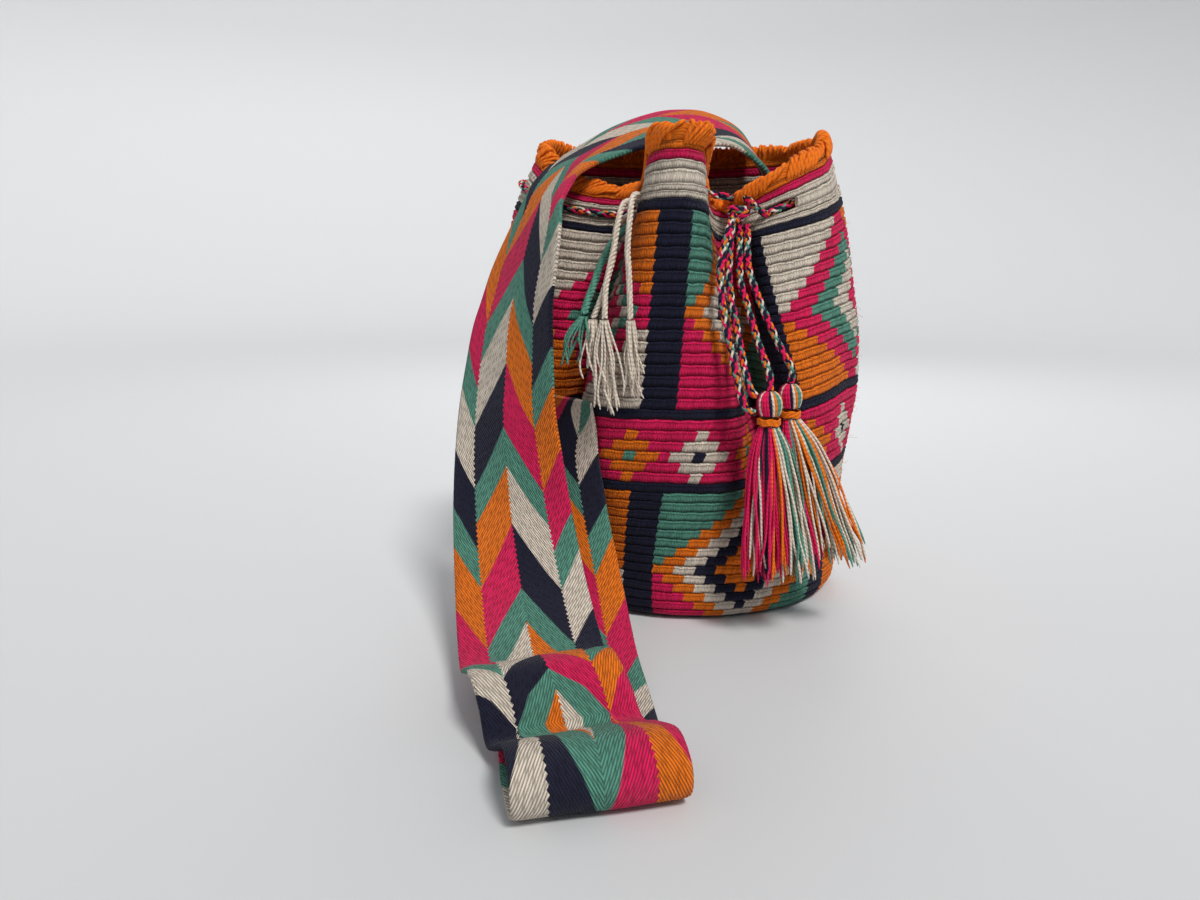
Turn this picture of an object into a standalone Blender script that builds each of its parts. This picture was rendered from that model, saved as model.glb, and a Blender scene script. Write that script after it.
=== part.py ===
"""Wayuu mochila: crocheted cylinder bag, woven strap, braided drawstring with two tassels.
Metres, +Z up, origin at the middle of the base, front towards -Y."""

import math

import bmesh
import bpy
import numpy as np
from mathutils import Vector

CELLS = 100              # pattern columns round the bag
WALL = 0.0038            # crochet wall
BASE_R = 0.108
BASE_TURN = -23.0        # direction of column 0 on the base, degrees right of the front
STRAP_T = 0.0040
CORD_D = 0.0045          # braided drawstring
TIE_D = 0.0028           # plied ties on the strap end
SCALLOP = 0.0042         # depth of the rim scallops
RIDGE = 0.0005           # raised crochet course
CORD_OFF = 0.0049        # drawstring centre line from the middle of the wall
GAP = 0.0004

ZV = [0.030, 0.140, 0.250, 0.314]   # heights of the four plan outlines

# Plan outlines from the front middle, counter-clockwise: x, y and, where it is fixed, the column.
MID = [(-.031, -.1135, 0), (-.006, -.1155), (.013, -.1105, 6.3), (.0225, -.0985), (.028, -.080),
       (.034, -.064), (.041, -.0625), (.046, -.074), (.051, -.090), (.0605, -.0985, 21.3),
       (.080, -.086), (.0943, -.0675, 28), (.109, -.036), (.114, 0), (.105, .030), (.080, .050),
       (.040, .058), (0, .060), (-.040, .058), (-.080, .048), (-.107, .026), (-.117, -.003),
       (-.113, -.034), (-.104, -.058), (-.094, -.067), (-.0865, -.056), (-.080, -.048),
       (-.0765, -.060), (-.077, -.078), (-.071, -.096), (-.053, -.109)]
SHOULDER = [(-.024, -.1205, 0), (-.006, -.1165), (.0035, -.104, 5), (.009, -.082), (.014, -.055),
            (.020, -.044), (.0275, -.052), (.032, -.068), (.038, -.080, 21.5), (.062, -.078),
            (.090, -.060), (.108, -.030, 34), (.112, .002), (.102, .026), (.065, .042), (0, .047),
            (-.060, .043), (-.105, .026), (-.127, -.006), (-.121, -.032), (-.102, -.048),
            (-.080, -.050), (-.066, -.046), (-.0595, -.060), (-.057, -.085), (-.052, -.103),
            (-.040, -.116)]
RIM = [(-.019, -.1195, 0), (.000, -.1135), (.0075, -.097, 5.3), (.0085, -.070), (.0115, -.040),
       (.019, -.032), (.0225, -.046), (.029, -.060, 21.3), (.055, -.0715), (.083, -.060),
       (.101, -.030, 35), (.104, .000), (.092, .022), (.055, .034), (0, .038), (-.055, .033),
       (-.090, .024), (-.110, .010), (-.1145, -.004), (-.104, -.018), (-.088, -.027),
       (-.072, -.034), (-.060, -.038), (-.051, -.046), (-.0475, -.060), (-.045, -.080),
       (-.042, -.100), (-.034, -.1135)]

# Sag of the courses round the bag: column, then dz at each height of SAG_V.
SAG_V = [0.0, 0.088, 0.142, 0.264, 0.314]
SAG = [(0, 0, 0, 0, 0, -.001), (5, 0, 0, 0, -.002, -.004), (10, 0, 0, 0, -.012, -.026),
       (16, 0, .001, .001, -.020, -.041), (21, 0, .003, .002, -.016, -.037), (24, 0, .005, .007, -.011, -.025),
       (28, 0, .007, .012, -.004, -.011), (34, 0, .008, .013, .008, .005), (42, 0, .007, .011, .008, .004),
       (55, 0, .003, .005, .002, .001), (68, 0, 0, .002, .004, .003), (75, 0, 0, .002, .008, .004),
       (78.5, 0, 0, .002, .000, -.020), (82, 0, 0, .001, -.008, -.029), (87, 0, 0, 0, -.013, -.032),
       (91, 0, 0, 0, -.008, -.022), (95, 0, 0, 0, -.001, -.004), (100, 0, 0, 0, 0, -.001)]

# Courses: (top height, first course, last course, zone), from the base upwards.
LOWER_TOP, UPPER_TOP, UPPER_P = 0.088, 0.264, (0.264 - 0.1428) / 17
BANDS = [(0.0074, 14, 14, "low")]
for first, last in ((12, 13), (10, 11), (9, 9), (7, 8), (4, 6), (1, 3)):
    BANDS.append((LOWER_TOP - 0.0062 * (first - 1), first, last, "low"))
BANDS.append((0.0945, 0, 0, "navy"))
for course in range(6, 0, -1):
    BANDS.append((0.1363 - 0.00697 * (course - 1), course, course, "band"))
BANDS.append((0.1428, 0, 0, "navy"))
for first, last in ((15, 17), (12, 14), (10, 11), (9, 9), (7, 8), (4, 6), (1, 3)):
    BANDS.append((UPPER_TOP - UPPER_P * (first - 1), first, last, "up"))
BANDS += [(0.2708, 0, 0, "navy"), (0.2795, 0, 0, "cream"), (0.2880, 0, 0, "slit"), (0.2935, 0, 0, "cream"),
          (0.2995, 0, 0, "pink"), (0.314, 0, 0, "orange")]
SLITS = [5, 23, 39, 55, 71, 91]     # first cell of each eyelet, three cells long

COLORS = {"orange": (225, 120, 20), "pink": (205, 25, 80), "cream": (200, 185, 170),
          "navy": (30, 30, 55), "green": (75, 135, 115)}


def clear_scene():
    for obj in list(bpy.data.objects):
        bpy.data.objects.remove(obj, do_unlink=True)
    for col in list(bpy.data.collections):
        bpy.data.collections.remove(col)


def material(name, rgb, rough=0.9):
    mat = bpy.data.materials.new(name)
    mat.use_nodes = True
    lin = [((v / 255 + 0.055) / 1.055) ** 2.4 for v in rgb]
    bsdf = mat.node_tree.nodes["Principled BSDF"]
    bsdf.inputs["Base Color"].default_value = (*lin, 1)
    bsdf.inputs["Roughness"].default_value = rough
    mat.diffuse_color = (*lin, 1)
    return mat


clear_scene()
BAG = bpy.data.collections.new("wayuu_mochila")
bpy.context.scene.collection.children.link(BAG)
YARN = {name: material("crochet_" + name, rgb) for name, rgb in COLORS.items()}
WEAVE = {name: material("woven_" + name, rgb) for name, rgb in COLORS.items()}
BRAID = material("braided_multicolour", (150, 95, 85))
FRINGE = {name: material("fringe_" + name, rgb) for name, rgb in COLORS.items()}


def add_mesh(name, verts, faces, mats, pick):
    mesh = bpy.data.meshes.new(name)
    mesh.from_pydata([tuple(v) for v in verts], [], faces)
    for mat in mats:
        mesh.materials.append(mat)
    for poly, index in zip(mesh.polygons, pick):
        poly.material_index = index
    bm = bmesh.new()
    bm.from_mesh(mesh)
    bmesh.ops.triangulate(bm, faces=bm.faces[:], quad_method="SHORT_EDGE")
    bm.to_mesh(mesh)
    bm.free()
    obj = bpy.data.objects.new(name, mesh)
    BAG.objects.link(obj)
    return obj


def spline(points, per, closed=False):
    """Catmull-Rom through the points, per samples to a span."""
    pts = np.asarray(points, float)
    n = len(pts)
    out = []
    for i in range(n if closed else n - 1):
        if closed:
            p0, p1, p2, p3 = (pts[(i + k - 1) % n] for k in range(4))
        else:
            p0, p1, p2, p3 = (pts[min(max(i + k - 1, 0), n - 1)] for k in range(4))
        for k in range(per):
            t = k / per
            out.append(0.5 * (2 * p1 + (p2 - p0) * t + (2 * p0 - 5 * p1 + 4 * p2 - p3) * t * t
                              + (3 * p1 - p0 - 3 * p2 + p3) * t ** 3))
    if not closed:
        out.append(pts[-1])
    return np.array(out)


def at_columns(outline, columns):
    """Plan points of an outline at the given columns."""
    per = 12
    dense = spline([p[:2] for p in outline], per, closed=True)
    dense = np.vstack([dense, dense[:1]])
    run = np.concatenate([[0], np.cumsum(np.linalg.norm(np.diff(dense, axis=0), axis=1))])
    known = [(run[i * per], p[2]) for i, p in enumerate(outline) if len(p) == 3] + [(run[-1], CELLS)]
    want = np.interp(columns, [k[1] for k in known], [k[0] for k in known])
    return np.stack([np.interp(want, run, dense[:, 0]), np.interp(want, run, dense[:, 1])], 1)


COLUMNS = np.arange(CELLS) - 0.5
WRAPPED = COLUMNS % CELLS
ANGLE = np.radians(BASE_TURN + 360 / CELLS * COLUMNS)
BASE = np.stack([BASE_R * np.sin(ANGLE), -BASE_R * np.cos(ANGLE)], 1)
KEYS = [BASE] + [at_columns(o, WRAPPED) for o in (MID, SHOULDER, RIM)]


def plan(v):
    """Plan points of the middle of the wall at height v, one to each column edge."""
    if v <= ZV[0]:
        low = max(0.0, 0.02 - v) / 0.02
        return BASE * (1 - 0.13 * (1 - math.sqrt(max(0.0, 1 - low ** 3))))
    k = min(int(np.searchsorted(ZV, v, side="right")) - 1, 2)
    t = min(1.0, (v - ZV[k]) / (ZV[k + 1] - ZV[k]))
    h = ZV[k + 1] - ZV[k]

    def slope(i):
        if i == 0:
            return (KEYS[1] - KEYS[0]) / (ZV[1] - ZV[0]) * 0.3
        if i == 3:
            return (KEYS[3] - KEYS[2]) / (ZV[3] - ZV[2])
        return (KEYS[i + 1] - KEYS[i - 1]) / (ZV[i + 1] - ZV[i - 1])

    a, b = KEYS[k], KEYS[k + 1]
    return (a * (2 * t ** 3 - 3 * t * t + 1) + slope(k) * h * (t ** 3 - 2 * t * t + t)
            + b * (3 * t * t - 2 * t ** 3) + slope(k + 1) * h * (t ** 3 - t * t))


SAG_AT = [np.interp(WRAPPED, [s[0] for s in SAG], [s[k + 1] for s in SAG]) for k in range(len(SAG_V))]
for k, row in enumerate(SAG_AT):
    for _ in range(3):
        row = (np.roll(row, 1) + 2 * row + np.roll(row, -1)) / 4
    SAG_AT[k] = row


def heights(v):
    k = min(max(int(np.searchsorted(SAG_V, v, side="right")) - 1, 0), len(SAG_V) - 2)
    t = (v - SAG_V[k]) / (SAG_V[k + 1] - SAG_V[k])
    return v + SAG_AT[k] * (1 - t) + SAG_AT[k + 1] * t


def ring(v, offset):
    """Closed ring of points at height v, offset outwards from the middle of the wall."""
    p = plan(v)
    ahead = np.roll(p, -1, 0) - p
    ahead /= np.linalg.norm(ahead, axis=1, keepdims=True)
    n1 = np.stack([ahead[:, 1], -ahead[:, 0]], 1)
    n0 = np.roll(n1, 1, 0)
    mitre = n0 + n1
    mitre /= np.maximum((mitre * n1).sum(1, keepdims=True), 0.6)
    off = np.broadcast_to(np.asarray(offset, float), (CELLS,))[:, None]
    flat = p + mitre * off
    return np.column_stack([flat, heights(v)])


def panel_color(cell, course, zone):
    """Colour of one cell of a patterned panel; cell 0 is the middle of the navy strip."""
    if min(cell % 20, 20 - cell % 20) <= 1:
        return "navy"
    col = cell % 20 - 1
    turn = int(cell // 20) % 5
    k = abs(course - 9)
    left, above = col < 9, course < 9
    arrow = zone == "up" and turn in (1, 4, 2)
    if arrow:
        a, b = col - (1 + k), 18 - k - col
        level = min(0 if a < 0 else 1 + min(a // 3, 3), 0 if b < 0 else (1, 1, 2, 3, 4)[min(b, 4)])
        if level:
            return (None, "pink", "green", "cream", "pink")[level]
        left = col < 9.5
        return "cream" if left == above else "orange"
    d = abs(col - 9) + k
    if d <= 8:
        return ("orange", "orange", "orange", "navy", "navy", "cream", "cream", "orange", "orange")[d]
    if zone == "up":
        return "green" if left == above else "pink"
    if turn in (1, 4, 2):
        return "cream" if left == above else "orange"
    return ("green" if above else "pink") if left else ("pink" if above else "green")


def band_color(cell, course):
    """Pink band with small cross flowers every six cells."""
    cell = (cell + 26) % CELLS - 26
    near = round((cell - 4) / 6)
    centre = 4 + 6 * near
    d = abs(cell - centre) + abs(course - 4)
    if d > 2 or near > 10 or near < -4:
        return "pink"
    cream = near % 2 == 0
    if d == 0:
        return "navy" if cream else "green"
    return "cream" if cream else "orange"


def cell_color(cell, band):
    _, first, last, zone = band
    course = (first + last) // 2 if last - first == 2 else last if first > 9 else first
    if zone in ("low", "up"):
        return panel_color(cell, course, zone)
    if zone == "band":
        return band_color(cell, course)
    return "cream" if zone == "slit" else zone


def make_bag():
    names = list(YARN)
    outer_v = [0.0] + [b[0] for b in BANDS]
    lift = [0, 0] + [RIDGE * (-1) ** k for k in range(len(outer_v) - 2)]
    slit = next(k for k, b in enumerate(BANDS) if b[3] == "slit")
    for k in range(slit - 1, slit + 3):
        lift[k] = 0
    inner_v = [0.0045, 0.024, 0.078, 0.130, 0.180, 0.232, outer_v[slit], outer_v[slit + 1], outer_v[-1]]
    rings = [ring(v, WALL / 2 + up) for v, up in zip(outer_v, lift)]
    inner = [ring(v, -WALL / 2) for v in inner_v]
    inner[0][:, :2] *= 0.99
    inner[0][:, 2] = WALL
    scallop = SCALLOP * np.array([0, 0.75, 1, 1, 0.75])[np.arange(CELLS) % 5] - SCALLOP / 2
    rings[-1][:, 2] += scallop
    inner[-1][:, 2] += scallop
    verts = np.vstack(rings + inner)
    base_in = len(rings) * CELLS
    faces, pick = [], []

    def out(i, c):
        return i * CELLS + c % CELLS

    def inn(i, c):
        return base_in + i * CELLS + c % CELLS

    holes = {c for s in SLITS for c in range(s, s + 3)}
    for i, band in enumerate(BANDS):
        for c in range(CELLS):
            if i == slit and c in holes:
                continue
            faces.append((out(i, c), out(i, c + 1), out(i + 1, c + 1), out(i + 1, c)))
            pick.append(names.index(cell_color(c, band)))
    in_slit = inner_v.index(outer_v[slit])
    for i in range(len(inner_v) - 1):
        for c in range(CELLS):
            if i == in_slit and c in holes:
                continue
            faces.append((inn(i, c + 1), inn(i, c), inn(i + 1, c), inn(i + 1, c + 1)))
            pick.append(names.index("cream" if i >= in_slit else "navy"))
    top_o, top_i = len(rings) - 1, len(inner_v) - 1
    for c in range(CELLS):
        faces.append((out(top_o, c), out(top_o, c + 1), inn(top_i, c + 1), inn(top_i, c)))
        pick.append(names.index("orange"))
    for start in SLITS:
        for c in range(start, start + 3):
            faces.append((out(slit, c), out(slit, c + 1), inn(in_slit, c + 1), inn(in_slit, c)))
            faces.append((out(slit + 1, c + 1), out(slit + 1, c), inn(in_slit + 1, c), inn(in_slit + 1, c + 1)))
        for c, turn in ((start, 1), (start + 3, -1)):
            side = (out(slit, c), inn(in_slit, c), inn(in_slit + 1, c), out(slit + 1, c))
            faces.append(side if turn == 1 else side[::-1])
        pick += [names.index("cream")] * 8
    faces.append(tuple(out(0, c) for c in range(CELLS))[::-1])
    faces.append(tuple(inn(0, c) for c in range(CELLS)))
    pick += [names.index("pink"), names.index("navy")]
    return add_mesh("bag_body", verts, faces, list(YARN.values()), pick)


def loft(name, rings, mats, pick, shade=None):
    """Closed body from loops with the same number of points; pick(ring, side) gives the material."""
    n = len(rings[0])
    verts = [p for r in rings for p in r]
    faces, index = [], []
    for i in range(len(rings) - 1):
        for c in range(n):
            faces.append((i * n + c, i * n + (c + 1) % n, (i + 1) * n + (c + 1) % n, (i + 1) * n + c))
            index.append(pick(i, c))
    faces.append(tuple(range(n))[::-1])
    faces.append(tuple(range((len(rings) - 1) * n, len(rings) * n)))
    index += [pick(0, 0), pick(len(rings) - 2, 0)]
    return add_mesh(name, verts, faces, mats, index)


# Strap stations from the end sewn inside the right rim: left or far edge, right or near edge.
STRAP = [
    ((.1009, .004, .264), (.0989, -.030, .264)), ((.0930, .004, .290), (.0915, -.032, .285)),
    ((.0840, .014, .312), (.0800, -.034, .301)), ((.0630, .030, .327), (.0550, -.034, .309)),
    ((.0398, .037, .334), (.0229, -.033, .3122)), ((.0132, .041, .3425), (-.0026, -.033, .310)),
    ((-.0076, .042, .3446), (-.0228, -.033, .310)), ((-.0279, .041, .342), (-.0358, -.034, .3095)),
    ((-.0565, .034, .3315), (-.0657, -.041, .2994)), ((-.0823, .012, .3145), (-.0796, -.062, .2903)),
    ((-.0995, -.018, .3000), (-.0843, -.083, .2820)), ((-.1124, -.040, .2836), (-.0900, -.102, .2690)),
    ((-.1215, -.050, .2645), (-.0905, -.118, .2555)), ((-.1305, -.053, .2465), (-.0920, -.1215, .2405)),
    ((-.1388, -.056, .2280), (-.0941, -.1225, .2235)), ((-.1454, -.060, .2083), (-.0959, -.123, .2085)),
    ((-.1513, -.064, .1900), (-.0961, -.123, .1910)), ((-.1558, -.070, .1659), (-.0957, -.124, .1700)),
    ((-.1599, -.079, .1382), (-.0946, -.1255, .1426)), ((-.1615, -.092, .1091), (-.0904, -.128, .1152)),
    ((-.1610, -.109, .0817), (-.0849, -.134, .0843)), ((-.1582, -.131, .0603), (-.0798, -.146, .0630)),
    ((-.1539, -.158, .0424), (-.0741, -.164, .0427)), ((-.1479, -.193, .0270), (-.0681, -.188, .0285)),
    ((-.1412, -.227, .0215), (-.0637, -.2066, .0215)), ((-.1352, -.2470, .0270), (-.0620, -.2210, .0275)),
    ((-.1300, -.2640, .0285), (-.0585, -.2360, .0285)), ((-.1250, -.2745, .0210), (-.0520, -.2450, .0205)),
    ((-.1205, -.2860, .0120), (-.0455, -.2600, .0120)), ((-.1120, -.3050, .0175), (-.0385, -.2830, .0170)),
    ((-.1080, -.3230, .0265), (-.0320, -.3060, .0265)), ((-.1050, -.3360, .0220), (-.0280, -.3190, .0220)),
    ((-.1040, -.3400, .0130), (-.0270, -.3225, .0130)), ((-.1045, -.3365, .0055), (-.0280, -.3190, .0055)),
    ((-.1070, -.3260, .0024), (-.0300, -.3080, .0024)), ((-.1130, -.2980, .0024), (-.0350, -.2790, .0024)),
    ((-.1170, -.2680, .0024), (-.0375, -.2480, .0024)), ((-.1190, -.2430, .0050), (-.0405, -.2220, .0050)),
    ((-.1245, -.2060, .0125), (-.0455, -.1935, .0130)), ((-.1288, -.1760, .0235), (-.0490, -.1720, .0240)),
    ((-.1325, -.1470, .0370), (-.0525, -.1520, .0375)), ((-.1365, -.1220, .0560), (-.0570, -.1340, .0555)),
    ((-.1390, -.1030, .0730), (-.0610, -.1220, .0720)), ((-.1400, -.0880, .0920), (-.0645, -.1135, .0905)),
    ((-.1370, -.0790, .1120), (-.0680, -.1085, .1100)), ((-.1200, -.0840, .1310), (-.0695, -.1070, .1285)),
    ((-.1000, -.0970, .1500), (-.0725, -.1090, .1460)),
]
ZONES = [0, 0.2, 0.5, 0.8, 1.0]


def make_strap():
    """Flat woven band lofted along its stations; stripes are offset in the four zones."""
    both = np.array([np.concatenate(s) for s in STRAP])
    path = spline(both, 2)
    keep = [i for i in range(len(path)) if i % 2 == 0 or 58 <= i <= 70]
    path = path[keep]
    left, right = path[:, :3], path[:, 3:]
    mid = (left + right) / 2
    run = np.concatenate([[0], np.cumsum(np.linalg.norm(np.diff(mid, axis=0), axis=1))])
    rings = []
    for i in range(len(path)):
        t = mid[min(i + 1, len(mid) - 1)] - mid[max(i - 1, 0)]
        n = np.cross(t, right[i] - left[i])
        n = n / np.linalg.norm(n) * STRAP_T / 2
        across = [left[i] + (right[i] - left[i]) * w for w in ZONES]
        rings.append([p + n for p in across] + [p - n for p in across[::-1]])
    names = list(WEAVE)
    order_r = ["orange", "pink", "green", "cream", "navy", "green"]
    edges = [34, 68, 89, 123, 157, 178]

    def stripe(s, zone):
        late = (0.0235, 0.017, 0.017, 0.0235)[zone]
        s_mm = ((s - late) * 1000 + 89 * (zone < 2) + 89 * (zone in (0, 3)) + 20) % 178
        return order_r[next(k for k, e in enumerate(edges) if s_mm <= e)]

    def pick(i, c):
        zone = c if c < 4 else 3 if c == 4 else 8 - c if c < 9 else 0
        return names.index(stripe((run[i] + run[i + 1]) / 2, zone))

    return loft("strap", [r[::-1] for r in rings], list(WEAVE.values()), lambda i, c: pick(i, (8 - c) % 10))


def cord(name, points, diameter, mat, step=0.011):
    """Plain round cord along a smooth curve through the points; step 0 takes the points as they are."""
    pts = np.asarray(points, float)
    if step:
        fine = spline(pts, 12)
        run = np.concatenate([[0], np.cumsum(np.linalg.norm(np.diff(fine, axis=0), axis=1))])
        want = np.linspace(0, run[-1], max(3, round(run[-1] / step)))
        pts = np.stack([np.interp(want, run, fine[:, k]) for k in range(3)], 1)
    curve = bpy.data.curves.new(name, "CURVE")
    curve.dimensions = "3D"
    line = curve.splines.new("POLY")
    line.points.add(len(pts) - 1)
    for p, co in zip(line.points, pts):
        p.co = (*co, 1)
    curve.bevel_depth = diameter / 2
    curve.bevel_resolution = 2
    curve.use_fill_caps = True
    curve.twist_mode = "MINIMUM"
    curve.materials.append(mat)
    obj = bpy.data.objects.new(name, curve)
    BAG.objects.link(obj)
    return obj


KNOT = Vector((.0185, -.0945, .2625))
KNOT_R = (.0085, .0062, .0062)


def make_drawstring():
    """Cord threaded in and out of the eyelets, both ends led to the knot in front."""
    v = (BANDS[-5][0] + BANDS[-4][0]) / 2
    wall = ring(v, 0)
    start, end = SLITS[1], SLITS[0] + CELLS
    cells = list(range(start, end + 4))
    side = {}
    sign = 1
    marks = [s + CELLS * (s < start) for s in SLITS]
    for c in cells:
        if c in marks:
            for k in range(4):
                side[c + k] = sign * math.cos(math.pi * k / 3)
            sign = -sign
        elif c not in side:
            side[c] = sign
    pts = []
    for c in cells:
        off = side[c] * CORD_OFF
        pts.append(ring(v, off)[c % CELLS])
    pts = np.array(pts)
    bend = np.ones(len(pts))
    for i in range(1, len(pts) - 1):
        a, b = pts[i] - pts[i - 1], pts[i + 1] - pts[i]
        bend[i] = 1 - a @ b / (np.linalg.norm(a) * np.linalg.norm(b))
    kept = [pts[0]]
    skipped = 0
    for i in range(1, len(pts) - 1):
        if bend[i] < 0.005 and skipped < 1 + (bend[i] < 0.001):
            skipped += 1
            continue
        skipped = 0
        kept.append(pts[i])
    kept.append(pts[-1])
    lead = [(KNOT.x + .0045, KNOT.y, KNOT.z + KNOT_R[2] + .0034)]
    tail = [(KNOT.x - .0030, KNOT.y + .001, KNOT.z + KNOT_R[2] + .0034)]
    return cord("drawstring", lead + kept + tail, CORD_D, BRAID, step=0)


def lathe(name, base, axis, profile, mat, sides=14, squash=(1, 1)):
    """Round solid: profile of (distance along the axis, radius)."""
    axis = Vector(axis).normalized()
    u = axis.cross(Vector((0, 0, 1) if abs(axis.z) < 0.9 else (0, 1, 0))).normalized()
    w = axis.cross(u)
    rings = []
    for s, r in profile:
        rings.append([Vector(base) + axis * s + u * (r * squash[0] * math.cos(2 * math.pi * k / sides))
                      + w * (r * squash[1] * math.sin(2 * math.pi * k / sides)) for k in range(sides)])
    return loft(name, rings, [mat] if not isinstance(mat, list) else mat, lambda i, c: 0)


def skirt(name, stations, mats, flutes, seed=0.0, ragged=0.0):
    """Hanging bundle of yarn: fluted sections (x, y, z, half width, half depth) down the bundle."""
    rings = []
    n = flutes * 2
    for i, (x, y, z, rx, ry) in enumerate(stations):
        row = []
        for k in range(n):
            a = -2 * math.pi * k / n
            f = 1.0 if k % 2 == 0 else 0.86
            drop = ragged * math.sin(3.1 * k + seed) if i == len(stations) - 1 else 0
            row.append(Vector((x + rx * f * math.cos(a), y + ry * f * math.sin(a), z + drop)))
        rings.append(row)
    return loft(name, rings, mats, lambda i, c: (c // 2) % len(mats))


def make_tassels():
    fringe = [FRINGE[n] for n in ("cream", "pink", "orange", "navy", "green")]
    sets = [("left", (.0365, -.1345, .1560), (.0365, -.1345), .0080,
             [(.0367, -.1345, .1352, .0062, .0058), (.0372, -.1352, .1290, .0105, .0090),
              (.0388, -.1368, .1050, .0140, .0106),
              (.0412, -.1395, .0660, .0172, .0118), (.0435, -.1405, .0325, .0185, .0115)]),
            ("right", (.0545, -.1235, .1590), (.0545, -.1235), .0072,
             [(.0550, -.1238, .1382, .0060, .0055), (.0570, -.1242, .1320, .0095, .0080),
              (.0655, -.1250, .1080, .0130, .0102),
              (.0785, -.1255, .0720, .0162, .0108), (.0880, -.1250, .0460, .0185, .0110)])]
    for side, top, xy, r, rows in sets:
        h = 0.0150
        lathe("tassel_head_" + side, top, (0, 0, -1),
              [(0, r * .8), (.003, r * .95), (.0075, r), (.0115, r * .95), (h - .0005, r * .75)], fringe[0], 10)
        lathe("tassel_binding_" + side, (xy[0], xy[1], top[2] - h - GAP), (0, 0, -1),
              [(0, r * .82), (.0024, r * .97), (.0048, r * .82)], YARN["orange"], 10)
        skirt("tassel_skirt_" + side, rows, fringe, 10, 1.0 if side == "left" else 2.3, 0.0015)


def make_cords():
    lathe("drawstring_knot", (KNOT.x - KNOT_R[0], KNOT.y, KNOT.z), (1, 0, 0),
          [(0, .0028), (.0018, .0056), (.0044, .0062), (.0058, .0053), (.0074, .0062), (.0098, .0062),
           (.0112, .0053), (.0128, .0062), (.0152, .0056), (.017, .0028)], BRAID, 10)
    tails = {
        "tail_1": [(.0245, -.0945, .2560), (.0250, -.0950, .2480), (.0258, -.1000, .2296), (.0308, -.1080, .2137),
                   (.0375, -.1160, .1972), (.0465, -.1205, .1800), (.0535, -.1230, .1690), (.0545, -.1235, .1602)],
        "tail_2": [(.0198, -.0935, .2560), (.0203, -.0930, .2480), (.0205, -.1005, .2223), (.0235, -.1060, .2099),
                   (.0275, -.1120, .1954), (.0320, -.1230, .1790), (.0358, -.1325, .1670), (.0365, -.1345, .1572)],
        "tail_3": [(.0151, -.0960, .2562), (.0138, -.0990, .2470), (.0125, -.1050, .2259), (.0138, -.1100, .2098),
                   (.0160, -.1160, .1968), (.0185, -.1225, .1811), (.0215, -.1290, .1650), (.0245, -.1325, .1560),
                   (.0274, -.1335, .1538)],
        "tail_4": [(.0140, -.1004, .2590), (.0125, -.1066, .2550), (.0085, -.1135, .2440), (.0056, -.1180, .2282),
                   (.0062, -.1210, .2115), (.0098, -.1240, .1921), (.0132, -.1275, .1750), (.0165, -.1310, .1600),
                   (.0195, -.1335, .1490), (.0230, -.1345, .1445), (.0267, -.1345, .1438)],
    }
    for name, pts in tails.items():
        cord("drawstring_" + name, pts, CORD_D, BRAID, 0.012)
    ties = {
        "tie_cream_1": ([(-.0561, -.0920, .2680), (-.0575, -.1040, .2645), (-.0562, -.1085, .2560), (-.0580, -.1110, .2440),
                         (-.0612, -.1130, .2294), (-.0636, -.1155, .2168), (-.0642, -.1180, .1990)], TIE_D, "cream"),
        "tie_cream_2": ([(-.0583, -.0880, .2570), (-.0612, -.1000, .2490), (-.0585, -.1075, .2380),
                         (-.0625, -.1100, .2230), (-.0668, -.1100, .2100), (-.0712, -.1105, .1990)], TIE_D, "cream"),
        "tie_cream_3": ([(-.0540, -.0965, .2735), (-.0530, -.1090, .2690), (-.0494, -.1170, .2560), (-.0505, -.1185, .2401),
                         (-.0498, -.1195, .2294), (-.0492, -.1200, .2163), (-.0486, -.1210, .1990)], TIE_D, "cream"),
        "tie_green": ([(-.0604, -.0700, .2548), (-.0625, -.0800, .2438), (-.0665, -.0900, .2312),
                       (-.0710, -.0985, .2189), (-.0745, -.1040, .2099), (-.0770, -.1085, .2010)], TIE_D * 1.3, "green"),
    }
    for name, (pts, d, color) in ties.items():
        cord(name, pts, d, YARN[color], 0.0105)
    frays = {
        "tie_fray_cream_1": ([(-.0642, -.1182, .1982, .0018, .0018), (-.0630, -.1200, .1850, .0050, .0025),
                              (-.0615, -.1220, .1680, .0070, .0028), (-.0610, -.1225, .1530, .0050, .0020)], "cream"),
        "tie_fray_cream_2": ([(-.0713, -.1107, .1982, .0018, .0018), (-.0718, -.1135, .1900, .0026, .0020),
                              (-.0720, -.1150, .1780, .0036, .0022), (-.0715, -.1160, .1680, .0026, .0018)], "cream"),
        "tie_fray_cream_3": ([(-.0486, -.1212, .1982, .0018, .0018), (-.0475, -.1222, .1830, .0030, .0022),
                              (-.0450, -.1235, .1680, .0040, .0024), (-.0410, -.1250, .1560, .0034, .0018)], "cream"),
        "tie_knot_green": ([(-.0773, -.1092, .1999, .0020, .0020), (-.0810, -.1110, .1930, .0048, .0040),
                            (-.0840, -.1120, .1860, .0062, .0045), (-.0855, -.1130, .1740, .0055, .0032),
                            (-.0870, -.1130, .1640, .0035, .0020)], "green"),
    }
    for name, (rows, color) in frays.items():
        skirt(name, rows, [YARN[color]], 4)


make_bag()
make_strap()
make_drawstring()
make_tassels()
make_cords()
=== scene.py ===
"""Dressed wayuu mochila: crocheted wall, woven strap, braided drawstring, yarn tassels and ties.
Metres, in the CAD's frame: +Z up, front towards -Y."""

import math
from functools import partial

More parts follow.
